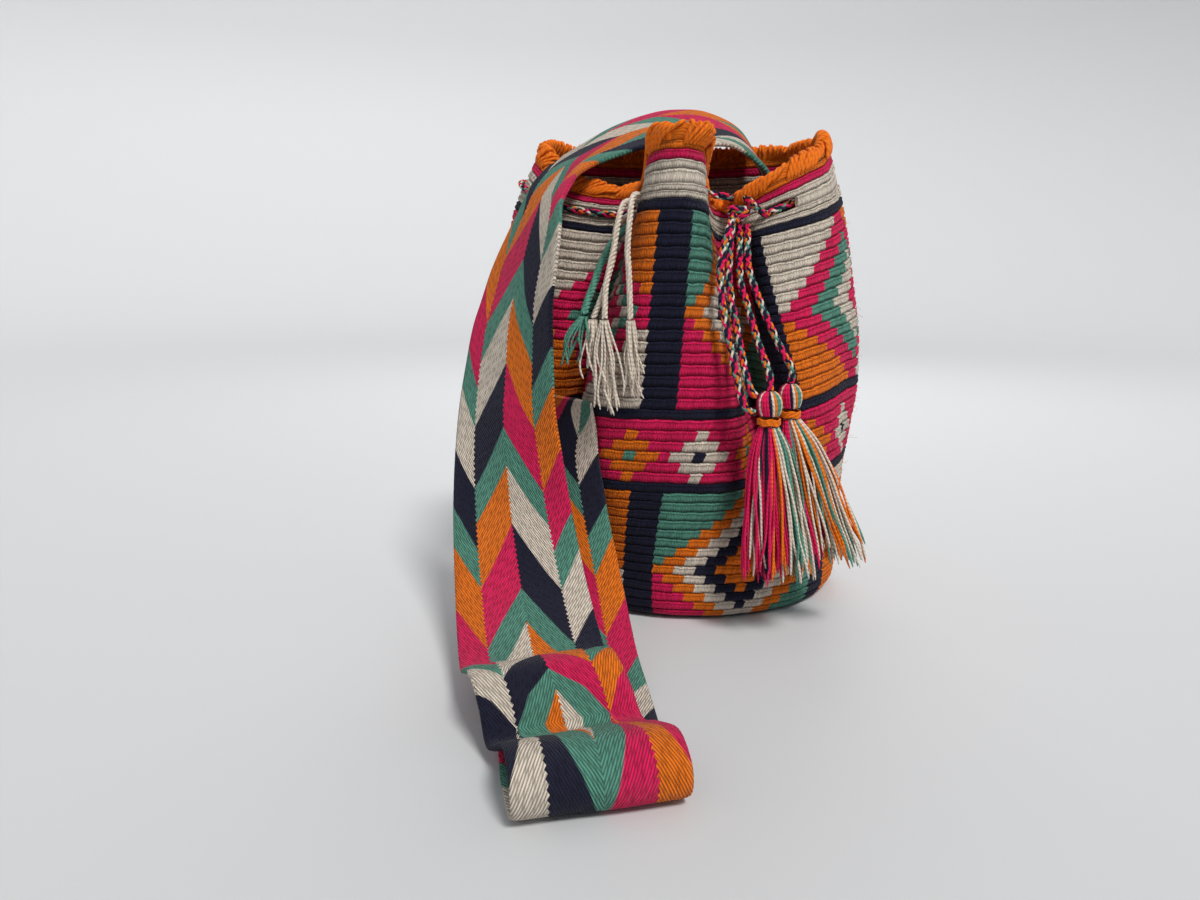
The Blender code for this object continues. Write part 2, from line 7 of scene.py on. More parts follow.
import bpy
import numpy as np
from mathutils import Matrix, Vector


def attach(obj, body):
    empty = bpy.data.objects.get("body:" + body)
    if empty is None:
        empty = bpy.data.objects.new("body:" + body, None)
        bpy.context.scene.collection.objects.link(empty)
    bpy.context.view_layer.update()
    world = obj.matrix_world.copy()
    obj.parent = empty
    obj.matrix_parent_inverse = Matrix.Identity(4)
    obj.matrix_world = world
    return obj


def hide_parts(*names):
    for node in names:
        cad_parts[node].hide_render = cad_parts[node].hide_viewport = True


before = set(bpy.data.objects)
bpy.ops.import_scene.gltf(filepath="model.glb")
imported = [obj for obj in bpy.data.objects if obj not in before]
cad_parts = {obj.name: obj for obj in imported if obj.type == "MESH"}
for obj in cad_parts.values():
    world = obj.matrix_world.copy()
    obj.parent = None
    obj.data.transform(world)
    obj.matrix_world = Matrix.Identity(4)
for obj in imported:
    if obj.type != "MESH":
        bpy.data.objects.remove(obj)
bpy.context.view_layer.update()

COLORS = {"orange": (218, 109, 20), "pink": (206, 24, 82), "cream": (205, 193, 178),
          "navy": (24, 25, 46), "green": (80, 134, 117)}
NAMES = list(COLORS)


def yarns(initials):
    """Names of the colours by their first letters."""
    return [next(n for n in NAMES if n[0] == i) for i in initials]



# ---------------------------------------------------------------- camera, stage and light

view = bpy.data.cameras.new("camera")
view.sensor_width = 36.0
view.lens = 27.45
camera = bpy.data.objects.new("camera", view)
camera.location = (-0.067, -0.68, 0.23)
camera.rotation_euler = (math.radians(90 - 11.31), 0, 0)
bpy.context.scene.collection.objects.link(camera)
bpy.context.scene.camera = camera
bpy.context.scene.view_settings.view_transform = "Standard"


def linear(rgb, scale=1.0):
    """Scene-linear colour of an 8-bit screen colour."""
    return [scale * ((v / 255 + 0.055) / 1.055) ** 2.4 for v in rgb]


def lamp(name, place, target, size, power):
    """Round area light aimed at target."""
    data = bpy.data.lights.new(name, "AREA")
    data.shape = "DISK"
    data.size = size
    data.energy = power
    obj = bpy.data.objects.new(name, data)
    obj.location = place
    obj.rotation_euler = (Vector(target) - Vector(place)).to_track_quat("-Z", "Y").to_euler()
    bpy.context.scene.collection.objects.link(obj)


def sun(name, place, power, spread, color=(1, 1, 1)):
    """Soft light from the direction of place, the same everywhere."""
    data = bpy.data.lights.new(name, "SUN")
    data.energy = power
    data.angle = math.radians(spread)
    data.color = color
    obj = bpy.data.objects.new(name, data)
    obj.rotation_euler = (-Vector(place)).to_track_quat("-Z", "Y").to_euler()
    bpy.context.scene.collection.objects.link(obj)


sun("key", (0.34, -0.62, 0.95), 2.5, 14, (1.0, 0.98, 0.95))
sun("fill", (-0.5, -0.9, 0.5), 0.30, 40, (0.95, 0.97, 1.0))
lamp("back", (0.2, 1.2, 1.1), (0, 0, 0.2), 1.0, 6)


def see_through_world():
    """Even studio light; the camera, glossy and transmission rays see a pale backdrop."""
    world = bpy.data.worlds.new("studio")
    bpy.context.scene.world = world
    world.use_nodes = True
    tree = world.node_tree
    tree.nodes.clear()
    out = tree.nodes.new("ShaderNodeOutputWorld")
    path = tree.nodes.new("ShaderNodeLightPath")
    light = tree.nodes.new("ShaderNodeBackground")
    light.inputs["Color"].default_value = (0.94, 0.97, 1.0, 1)
    light.inputs["Strength"].default_value = 0.34
    seen = tree.nodes.new("ShaderNodeBackground")
    seen.inputs["Color"].default_value = (0.80, 0.81, 0.82, 1)
    seen.inputs["Strength"].default_value = 1.0
    mix = tree.nodes.new("ShaderNodeMixShader")
    either = calc(tree, "MAXIMUM", path.outputs["Is Camera Ray"], path.outputs["Is Glossy Ray"])
    either = calc(tree, "MAXIMUM", either, path.outputs["Is Transmission Ray"])
    tree.links.new(either, mix.inputs[0])
    tree.links.new(light.outputs[0], mix.inputs[1])
    tree.links.new(seen.outputs[0], mix.inputs[2])
    tree.links.new(mix.outputs[0], out.inputs["Surface"])


# ---------------------------------------------------------------- node helpers

def calc(tree, kind, *args):
    """Output of a new Math node; an argument is a socket or a number."""
    n = tree.nodes.new("ShaderNodeMath")
    n.operation = kind
    for socket, a in zip(n.inputs, args):
        if hasattr(a, "is_output"):
            tree.links.new(a, socket)
        else:
            socket.default_value = a
    return n.outputs[0]


def group(name, inputs, outputs):
    """Empty node group: its tree, the sockets given to it and those of its result."""
    tree = bpy.data.node_groups.new(name, "ShaderNodeTree")
    for label, kind in inputs:
        tree.interface.new_socket(name=label, in_out="INPUT", socket_type="NodeSocket" + kind)
    for label, kind in outputs:
        tree.interface.new_socket(name=label, in_out="OUTPUT", socket_type="NodeSocket" + kind)
    return tree, tree.nodes.new("NodeGroupInput").outputs, tree.nodes.new("NodeGroupOutput").inputs


def give(tree, result, **sockets):
    """Hand named results out of a node group."""
    for label, socket in sockets.items():
        tree.links.new(socket, result[label])


def first_two(tree, vector):
    """X and Y of a vector."""
    sep = tree.nodes.new("ShaderNodeSeparateXYZ")
    tree.links.new(vector, sep.inputs[0])
    return sep.outputs[0], sep.outputs[1]


def bump_of(tree, centre, value, width):
    """Rounded ridge, 1 where value is centre, 0 beyond width."""
    off = calc(tree, "DIVIDE", calc(tree, "SUBTRACT", value, centre), width)
    return calc(tree, "MAXIMUM", calc(tree, "SUBTRACT", 1.0, calc(tree, "MULTIPLY", off, off)), 0.0)


def white_noise(tree, *parts):
    """Random value for a whole number, or for a pair of them."""
    n = tree.nodes.new("ShaderNodeTexWhiteNoise")
    if len(parts) == 1:
        n.noise_dimensions = "1D"
        tree.links.new(parts[0], n.inputs["W"])
        return n.outputs["Value"]
    n.noise_dimensions = "2D"
    join = tree.nodes.new("ShaderNodeCombineXYZ")
    for part, socket in zip(parts, join.inputs):
        tree.links.new(part, socket)
    tree.links.new(join.outputs[0], n.inputs["Vector"])
    return n.outputs["Value"]


def noise(tree, place, scale, detail=None):
    """Smooth noise over place."""
    n = tree.nodes.new("ShaderNodeTexNoise")
    n.inputs["Scale"].default_value = scale
    if detail is None:
        n.noise_dimensions = "2D"
    else:
        n.inputs["Detail"].default_value = detail
    tree.links.new(place, n.inputs["Vector"])
    return n.outputs[0]


def fibre_group():
    """Fine fibres and a slow change of tone, from the piece's own coordinates."""
    tree, _, result = group("fibres", [], [("Height", "Float"), ("Tone", "Float")])
    do = partial(calc, tree)
    place = tree.nodes.new("ShaderNodeTexCoord").outputs["Object"]
    fine, slow = noise(tree, place, 1500.0, 3.0), noise(tree, place, 42.0, 2.0)
    tone = do("MULTIPLY", do("MULTIPLY_ADD", fine, 0.34, 0.83), do("MULTIPLY_ADD", slow, 0.16, 0.92))
    give(tree, result, Height=fine, Tone=tone)
    return tree


def crochet_group():
    """Tapestry crochet: two legs to a stitch, a chain ridge along each course's top, a groove below it.
    Place is (stitches along, courses up)."""
    tree, given, result = group("crochet", [("Place", "Vector")], [("Height", "Float"), ("Shade", "Float")])
    do, ridge = partial(calc, tree), partial(bump_of, tree)
    x, y = first_two(tree, given["Place"])
    up = do("FRACT", y)
    stray = noise(tree, given["Place"], 1.3)
    x1 = do("ADD", x, do("MULTIPLY_ADD", stray, 0.7, -0.35))
    up1 = do("ADD", up, do("MULTIPLY_ADD", stray, 0.24, -0.12))
    across = do("FRACT", do("MULTIPLY_ADD", up, 0.75, x1))
    side = do("ABSOLUTE", do("SUBTRACT", across, 0.5))
    leg = ridge(do("MULTIPLY_ADD", up, 0.22, 0.14), side, 0.20)
    rope = do("FRACT", do("MULTIPLY_ADD", up1, 1.6, x1))
    chain = do("MULTIPLY", ridge(0.86, up1, 0.125), do("MULTIPLY_ADD", ridge(0.5, rope, 0.5), 0.55, 0.45))
    legs = do("MULTIPLY", do("MULTIPLY_ADD", leg, 0.55, 0.45), ridge(0.40, up1, 0.36))
    height = do("MAXIMUM", legs, chain)
    # Painted shade: darker in the grooves between courses and between the legs, lighter on the chain and
    # leg ridges; it is then multiplied by a random tone for each stitch.
    shade = do("MULTIPLY_ADD", do("POWER", height, 0.85), 0.86, 0.30)
    dye = white_noise(tree, do("FLOOR", x), do("FLOOR", y))
    shade = do("MULTIPLY", shade, do("MULTIPLY_ADD", dye, 0.26, 0.87))
    give(tree, result, Height=height, Shade=shade)
    return tree


PERIOD = 0.178            # one full set of strap stripes
STRIPES = [("orange", 0.0), ("pink", 0.034), ("green", 0.068), ("cream", 0.089), ("navy", 0.123),
           ("green", 0.157)]
STRAP_W = 0.077
YARN_W = 0.0022           # strap yarns, centre to centre along the strap
FLOAT = 0.0050            # length of a yarn's visible float, across the strap
TURN = 0.3                # share of the width from the middle where the chevrons turn back
LAG, GAIN = 0.035, 0.023  # how far a stripe falls behind up to there, and catches up beyond
LEFT_SHIFT, OUTER_SHIFT = 0.089, -0.034     # place in the pattern of the left half and of the outer parts


def strap_group():
    """Chevron stripes of the strap and the oblique yarns along them.
    Place is (pattern run, share across), Strand is (yarn run, share across)."""
    tree, given, result = group("chevrons", [("Place", "Vector"), ("Strand", "Vector")],
                                [("Stripe", "Float"), ("Height", "Float"), ("Shade", "Float")])
    do = partial(calc, tree)
    run, w = first_two(tree, given["Place"])
    yarn, _ = first_two(tree, given["Strand"])
    off = do("ABSOLUTE", do("SUBTRACT", w, 0.5))
    behind = do("MULTIPLY", do("MINIMUM", off, TURN), LAG / TURN)
    gained = do("MULTIPLY", do("MAXIMUM", do("SUBTRACT", off, TURN), 0.0), GAIN / (0.5 - TURN))
    late = do("SUBTRACT", behind, gained)
    tooth = do("MULTIPLY_ADD", do("PINGPONG", yarn, 0.0015), 11.0, -0.0083)
    w2 = do("ADD", w, tooth)
    left = do("LESS_THAN", w2, 0.5)
    outer = do("GREATER_THAN", do("ABSOLUTE", do("SUBTRACT", w2, 0.5)), TURN)
    count = do("DIVIDE", do("SUBTRACT", yarn, late), YARN_W)
    within, which = do("FRACT", count), do("FLOOR", count)
    step = do("MULTIPLY", do("SUBTRACT", within, 0.5), 0.0016)
    place = do("ADD", do("SUBTRACT", run, late), step)
    place = do("MULTIPLY_ADD", left, LEFT_SHIFT, place)
    place = do("MULTIPLY_ADD", outer, OUTER_SHIFT, place)
    stripe = do("FRACT", do("DIVIDE", do("ADD", place, 10 * PERIOD), PERIOD))
    start = do("MULTIPLY_ADD", which, 0.5, do("MULTIPLY", white_noise(tree, which), 0.45))
    floats = do("MULTIPLY_ADD", w, STRAP_W / FLOAT, start)
    end = do("ABSOLUTE", do("MULTIPLY_ADD", do("FRACT", floats), 2.0, -1.0))
    end = do("SUBTRACT", 1.0, do("POWER", end, 4.0))
    yarn_round = do("POWER", bump_of(tree, 0.5, within, 0.55), 0.7)
    height = do("MULTIPLY", yarn_round, do("MULTIPLY_ADD", end, 0.6, 0.4))
    # Painted shade: darker between the yarns and where a float dips under, lighter on the yarns' crowns; it
    # is then multiplied by a random tone for each float.
    shade = do("MULTIPLY_ADD", height, 0.88, 0.26)
    dye = white_noise(tree, which, do("FLOOR", floats))
    shade = do("MULTIPLY", shade, do("MULTIPLY_ADD", dye, 0.20, 0.90))
    give(tree, result, Stripe=stripe, Height=height, Shade=shade)
    return tree


def ply_group():
    """Twisted plies on a round yarn; Place is (share round, turns along)."""
    tree, given, result = group("plies", [("Place", "Vector")], [("Height", "Float"), ("Shade", "Float")])
    x, y = first_two(tree, given["Place"])
    height = bump_of(tree, 0.5, calc(tree, "FRACT", calc(tree, "MULTIPLY_ADD", x, 2.0, y)), 0.55)
    # Painted shade: darker in the grooves between the twisted plies, lighter on their crowns.
    give(tree, result, Height=height, Shade=calc(tree, "MULTIPLY_ADD", height, 0.42, 0.68))
    return tree


FIBRES, CROCHET, CHEVRONS, PLIES = fibre_group(), crochet_group(), strap_group(), ply_group()


def yarn_material(name, shape, rgb=None, depth=0.0007):
    """Yarn surface with relief and painted shade from one of the groups; the strap has stripes in place of
    rgb.
    """
    mat = bpy.data.materials.new(name)
    mat.use_nodes = True
    tree = mat.node_tree
    bsdf = tree.nodes["Principled BSDF"]
    bsdf.inputs["Roughness"].default_value = 0.92
    bsdf.inputs["Sheen Weight"].default_value = 0.06
    bsdf.inputs["Sheen Roughness"].default_value = 0.55
    bsdf.inputs["Specular IOR Level"].default_value = 0.14
    uv = tree.nodes.new("ShaderNodeUVMap")
    uv.uv_map = "place"
    form = tree.nodes.new("ShaderNodeGroup")
    form.node_tree = shape
    tree.links.new(uv.outputs[0], form.inputs[0])
    if rgb is None:
        second = tree.nodes.new("ShaderNodeUVMap")
        second.uv_map = "strand"
        tree.links.new(second.outputs[0], form.inputs[1])
    fibre = tree.nodes.new("ShaderNodeGroup")
    fibre.node_tree = FIBRES
    # Painted shade of the relief, times the fibres' random tone, scales the base colour.
    shade = calc(tree, "MULTIPLY", form.outputs["Shade"], fibre.outputs["Tone"])
    scale = tree.nodes.new("ShaderNodeVectorMath")
    scale.operation = "SCALE"
    if rgb is None:
        ramp = tree.nodes.new("ShaderNodeValToRGB")
        ramp.color_ramp.interpolation = "CONSTANT"
        for k, (color, at) in enumerate(STRIPES):
            stop = ramp.color_ramp.elements[k] if k < 2 else ramp.color_ramp.elements.new(at / PERIOD)
            stop.position = at / PERIOD
            stop.color = (*linear(COLORS[color], 1.05), 1)
        tree.links.new(form.outputs["Stripe"], ramp.inputs[0])
        tree.links.new(ramp.outputs[0], scale.inputs[0])
    else:
        scale.inputs[0].default_value = linear(rgb, 1.12)
        mat.diffuse_color = (*linear(rgb), 1)
    tree.links.new(shade, scale.inputs["Scale"])
    tree.links.new(scale.outputs[0], bsdf.inputs["Base Color"])
    bump = tree.nodes.new("ShaderNodeBump")
    bump.inputs["Strength"].default_value = 0.85
    bump.inputs["Distance"].default_value = depth
    height = calc(tree, "MULTIPLY_ADD", fibre.outputs["Height"], 0.34, form.outputs["Height"])
    tree.links.new(height, bump.inputs["Height"])
    tree.links.new(bump.outputs[0], bsdf.inputs["Normal"])
    return mat


CROCHET_MATS = [yarn_material("crochet_" + n, CROCHET, COLORS[n]) for n in NAMES]
STRAP_MAT = yarn_material("woven_chevrons", CHEVRONS, depth=0.0013)
PLY_MATS = [yarn_material("plied_" + n, PLIES, COLORS[n], depth=0.0003) for n in NAMES]


# ---------------------------------------------------------------- mesh helpers

def piece(name, parts, mats, nodes, second=None):
    """One object from parts of (points, quads, material index per quad, corner coordinates per quad).
    The corner coordinates are the layer "place"; second is the layer "strand"."""
    verts, faces, index, corners = [], [], [], []
    base = 0
    for points, quads, mat, uv in parts:
        verts.append(points)
        faces.append(quads + base)
        index.append(np.broadcast_to(mat, (len(quads),)))
        corners.append(uv)
        base += len(points)
    verts, faces = np.concatenate(verts), np.concatenate(faces)
    index, corners = np.concatenate(index), np.concatenate(corners)
    mesh = bpy.data.meshes.new(name)
    mesh.vertices.add(len(verts))
    mesh.vertices.foreach_set("co", verts.astype(np.float32).ravel())
    mesh.loops.add(faces.size)
    mesh.loops.foreach_set("vertex_index", faces.astype(np.int32).ravel())
    mesh.polygons.add(len(faces))
    mesh.polygons.foreach_set("loop_start", np.arange(0, faces.size, 4, dtype=np.int32))
    mesh.polygons.foreach_set("loop_total", np.full(len(faces), 4, np.int32))
    for mat in mats:
        mesh.materials.append(mat)
    mesh.polygons.foreach_set("material_index", index.astype(np.int32))
    mesh.polygons.foreach_set("use_smooth", np.ones(len(faces), bool))
    for label, at in (("place", corners), ("strand", second)):
        if at is not None:
            layer = mesh.uv_layers.new(name=label)
            layer.data.foreach_set("uv", at.astype(np.float32).ravel())
    mesh.update()
    obj = bpy.data.objects.new(name, mesh)
    bpy.context.scene.collection.objects.link(obj)
    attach(obj, "root")
    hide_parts(*nodes)
    return obj


def grid(points, coords, pick=0, closed=False, keep=None, flip=False):
    """Quads over points[row, column]; coords has one more column than points when closed."""
    rows, cols = points.shape[:2]
    span = cols if closed else cols - 1
    i, j = np.meshgrid(np.arange(rows - 1), np.arange(span), indexing="ij")
    k = (j + 1) % cols
    here, above = i * cols, (i + 1) * cols
    quads = np.stack([here + j, here + k, above + k, above + j], -1).reshape(-1, 4)
    uv = np.stack([coords[i, j], coords[i, j + 1], coords[i + 1, j + 1], coords[i + 1, j]], -2)
    uv = uv.reshape(-1, 4, 2)
    index = np.broadcast_to(pick, (rows - 1, span)).reshape(-1)
    if keep is not None:
        mask = keep.reshape(-1)
        quads, uv, index = quads[mask], uv[mask], index[mask]
    if flip:
        quads, uv = quads[:, ::-1], uv[:, ::-1]
    return points.reshape(-1, 3), quads, index, uv


def spline(points, per, closed=False):
    """Catmull-Rom through the points, per samples to a span."""
    pts = np.asarray(points, float)
    n = len(pts)
    t = (np.arange(per) / per)[:, None]
    out = []
    for i in range(n if closed else n - 1):
        if closed:
            p0, p1, p2, p3 = (pts[(i + k - 1) % n] for k in range(4))
        else:
            p0, p1, p2, p3 = (pts[min(max(i + k - 1, 0), n - 1)] for k in range(4))
        out.append(0.5 * (2 * p1 + (p2 - p0) * t + (2 * p0 - 5 * p1 + 4 * p2 - p3) * t ** 2
                          + (3 * p1 - p0 - 3 * p2 + p3) * t ** 3))
    if not closed:
        out.append(pts[-1:])
    return np.concatenate(out)


def run_of(path):
    """Distance along the path at each of its points."""
    return np.concatenate([[0], np.cumsum(np.linalg.norm(np.diff(path, axis=0), axis=1))])


def even(path, step):
    """The same line with points every step."""
    run = run_of(path)
    want = np.linspace(0, run[-1], max(4, int(round(run[-1] / step)) + 1))
    return np.stack([np.interp(want, run, path[:, k]) for k in range(3)], 1)


def frames_of(path):
    """Unit tangents with two side directions carried along without twist."""
    t = np.gradient(path, axis=0)
    t /= np.linalg.norm(t, axis=1, keepdims=True)
    first = np.cross(t[0], (0.3, 0.2, 0.93))
    n = np.empty_like(path)
    n[0] = first / np.linalg.norm(first)
    for i in range(1, len(path)):
        v = n[i - 1] - t[i] * (n[i - 1] @ t[i])
        n[i] = v / np.linalg.norm(v)
    return t, n, np.cross(t, n)


def tube(path, radius, mat, sides=6, turns=260.0, taper=0.0):
    """Round yarn along a path; radius may change along it."""
    _, n, b = frames_of(path)
    r = np.broadcast_to(radius, (len(path),)).astype(float).copy()
    if taper:
        r[-2:] *= (0.8, taper)
    a = 2 * np.pi * np.arange(sides) / sides
    round_ = np.cos(a)[None, :, None] * n[:, None] + np.sin(a)[None, :, None] * b[:, None]
    points = path[:, None] + r[:, None, None] * round_
    run = run_of(path) * turns
    u = np.arange(sides + 1) / sides
    coords = np.stack(np.broadcast_arrays(u[None, :], run[:, None]), -1)
    return grid(points, coords, mat, closed=True, flip=True)


def twisted(path, radius, count, strand, pitch, mats, over=0.0, sides=6):
    """Strands round a line: all one way (plied), or half each way, passing over and under (braided)."""
    _, n, b = frames_of(path)
    turn = 2 * np.pi * run_of(path) / pitch
    parts = []
    each = count // 2 if over else count
    for k in range(count):
        way = -1 if over and k >= each else 1
        a = way * turn + 2 * np.pi * (k % each) / each
        r = radius + way * over * np.cos(each * turn)
        line = path + n * (r * np.cos(a))[:, None] + b * (r * np.sin(a))[:, None]
        parts.append(tube(line, strand, NAMES.index(mats[k % len(mats)]), sides))
    return parts


# ---------------------------------------------------------------- floor

def make_floor():
    """Pale table that sweeps up into a low backdrop far off, all round."""
    flat, bend, n = 2.6, 1.6, 96
    profile = [(0.5, 0.0), (flat, 0.0)]
    profile += [(flat + bend * math.sin(a), bend - bend * math.cos(a)) for a in np.linspace(0.1, 1.5, 15)]
    profile.append((4.3, 2.1))
    turns = [k * 2 * math.pi / n for k in range(n)]
    verts = [(r * math.cos(a), r * math.sin(a), z) for r, z in profile for a in turns]
    faces = [(n * i + k, n * i + n + k, n * i + n + (k + 1) % n, n * i + (k + 1) % n)
             for i in range(len(profile) - 1) for k in range(n)] + [tuple(range(n))]
    mesh = bpy.data.meshes.new("floor")
    mesh.from_pydata(verts, [], faces)
    for poly in mesh.polygons:
        poly.use_smooth = True
    mat = bpy.data.materials.new("floor")
    mat.use_nodes = True
    bsdf = mat.node_tree.nodes["Principled BSDF"]
    bsdf.inputs["Base Color"].default_value = (0.60, 0.61, 0.625, 1)
    bsdf.inputs["Roughness"].default_value = 0.6
    mesh.materials.append(mat)
    obj = bpy.data.objects.new("floor", mesh)
    obj.location.z = -0.0004
    bpy.context.scene.collection.objects.link(obj)


see_through_world()
make_floor()

# ---------------------------------------------------------------- crocheted wall

CELLS = 100              # pattern columns round the bag
WALL = 0.0038            # crochet wall
BASE_R = 0.108           # radius of the base
BASE_TURN = -23.0        # direction of column 0 on the base, degrees right of the front
STRAP_T = 0.0040         # thickness of the strap
CORD_D = 0.0045          # braided drawstring
TIE_D = 0.0028           # plied ties on the strap end
SCALLOP = 0.0042         # depth of the rim scallops
CORD_OFF = 0.0049        # drawstring centre line from the middle of the wall

ZV = [0.030, 0.140, 0.250, 0.314]   # heights of the four plan outlines

# Plan outlines from the front middle, counter-clockwise: x, y and, where it is fixed, the column.
MID = [(-.031, -.1135, 0), (-.006, -.1155), (.013, -.1105, 6.3), (.0225, -.0985), (.028, -.080),
       (.034, -.064), (.041, -.0625), (.046, -.074), (.051, -.090), (.0605, -.0985, 21.3),
       (.080, -.086), (.0943, -.0675, 28), (.112, -.036), (.117, 0), (.108, .030), (.080, .050),
       (.040, .058), (0, .060), (-.040, .058), (-.080, .048), (-.107, .026), (-.117, -.003),
       (-.113, -.034), (-.104, -.058), (-.094, -.067), (-.0865, -.056), (-.080, -.048),
       (-.0765, -.060), (-.077, -.078), (-.071, -.096), (-.053, -.109)]
SHOULDER = [(-.022, -.1200, 0), (-.0100, -.1160), (-.0025, -.104, 5), (.0025, -.082), (.010, -.055),
            (.020, -.044), (.0275, -.052), (.032, -.068), (.038, -.080, 21.5), (.062, -.078),
            (.086, -.060), (.1005, -.030, 34), (.105, .002), (.096, .026), (.065, .042), (0, .047),
            (-.060, .043), (-.105, .026), (-.127, -.006), (-.121, -.032), (-.102, -.048),
            (-.073, -.050), (-.054, -.045), (-.0480, -.060), (-.0452, -.085), (-.0430, -.103),
            (-.035, -.1155)]
RIM = [(-.019, -.1195, 0), (-.0100, -.1135), (-.0060, -.097, 5.3), (-.004, -.070), (.004, -.040),
       (.019, -.032), (.0225, -.046), (.029, -.060, 21.3), (.050, -.0715), (.074, -.060),
       (.0830, -.030, 35), (.0850, .000), (.076, .022), (.055, .034), (0, .038), (-.055, .033),
       (-.082, .025), (-.100, .012), (-.1055, -.003), (-.096, -.018), (-.082, -.027),
       (-.063, -.034), (-.047, -.037), (-.0370, -.046), (-.0335, -.060), (-.0320, -.080),
       (-.0318, -.100), (-.0278, -.1115)]

# Sag of the courses round the bag: column, then dz at each height of SAG_V.
SAG_V = [0.0, 0.088, 0.142, 0.264, 0.314]
SAG = [(0, 0, 0, 0, 0, -.001), (5, 0, 0, 0, -.002, -.004), (10, 0, 0, 0, -.012, -.026),
       (16, 0, .001, .001, -.020, -.041), (21, 0, .003, .002, -.016, -.037),
       (24, 0, .005, .007, -.011, -.025), (28, 0, .007, .012, -.004, -.011),
       (34, 0, .008, .013, .008, .005), (42, 0, .007, .011, .008, .004),
       (55, 0, .003, .005, .002, .001), (68, 0, 0, .002, .004, .003), (75, 0, 0, .002, .008, .004),
       (78.5, 0, 0, .002, .000, -.020), (82, 0, 0, .001, -.008, -.029), (87, 0, 0, 0, -.013, -.032),
       (91, 0, 0, 0, -.008, -.022), (95, 0, 0, 0, -.001, -.004), (100, 0, 0, 0, 0, -.001)]

# Tops of the lower panels, the flower band and the upper panels, and the height of a course of each.
LOWER_TOP, BAND_TOP, UPPER_TOP = 0.088, 0.1363, 0.264
LOWER_P, BAND_P, UPPER_P = 0.0062, 0.00697, (0.264 - 0.1428) / 17
SLITS = [5, 23, 39, 55, 71, 91]     # first cell of each eyelet, three cells long


def at_columns(outline, columns):
    """Plan points of an outline at the given columns."""
    per = 12
    dense = spline([p[:2] for p in outline], per, closed=True)
    dense = np.vstack([dense, dense[:1]])
    run = run_of(dense)
    known = [(run[i * per], p[2]) for i, p in enumerate(outline) if len(p) == 3] + [(run[-1], CELLS)]
    want = np.interp(columns, [k[1] for k in known], [k[0] for k in known])
    return np.stack([np.interp(want, run, dense[:, 0]), np.interp(want, run, dense[:, 1])], 1)


def panel_color(cell, course, zone):
    """Colour of one cell of a patterned panel; cell 0 is the middle of the navy strip."""
    if min(cell % 20, 20 - cell % 20) <= 1:
        return "navy"
    col = cell % 20 - 1
    turn = int(cell // 20) % 5
    k = abs(course - 9)
    left, above = col < 9, course < 9
    arrow = zone == "up" and turn in (1, 4, 2)
    if arrow:
        a, b = col - (1 + k), 18 - k - col
        level = min(0 if a < 0 else 1 + min(a // 3, 3), 0 if b < 0 else (1, 1, 2, 3, 4)[min(b, 4)])
        if level:
            return (None, "pink", "green", "cream", "pink")[level]
        left = col < 9.5
        return "cream" if left == above else "orange"
    d = abs(col - 9) + k
    if d <= 8:
        return ("orange", "orange", "orange", "navy", "navy", "cream", "cream", "orange", "orange")[d]
    if zone == "up":
        return "green" if left == above else "pink"
    if turn in (1, 4, 2):
        return "cream" if left == above else "orange"
    return ("green" if above else "pink") if left else ("pink" if above else "green")


def band_color(cell, course):
    """Pink band with small cross flowers every six cells."""
    cell = (cell + 26) % CELLS - 26
    near = round((cell - 4) / 6)
    centre = 4 + 6 * near
    d = abs(cell - centre) + abs(course - 4)
    if d > 2 or near > 10 or near < -4:
        return "pink"
    cream = near % 2 == 0
    if d == 0:
        return "navy" if cream else "green"
    return "cream" if cream else "orange"


FINE = 8                 # mesh columns to a pattern cell, two to a stitch
THIN = 4                 # the lining and the base take every fourth of them
STITCHES = 4             # to a pattern cell
LEAN = 0.22              # how far a stitch leans, in cells
GROOVE = 0.0011          # depth of the groove between courses
# Rings of a course: share of its height, share of the lean, relief.
STEPS = [(0.0, 0.0, -GROOVE), (0.11, 0.05, 0.0), (0.36, 0.25, 0.0007), (0.66, 0.55, 0.0003),
         (0.86, 1.0, 0.0007)]
EDGE_FOOT, EDGE_TOP = 0.3045, 0.3128      # heights of the shell edging
SHELL = 5                # cells to a shell of the edging
LOOPS = 9                # loops of yarn to a shell
EYELET = 3               # cells to an eyelet
INNER = 0.985            # inside of the base, against its outside


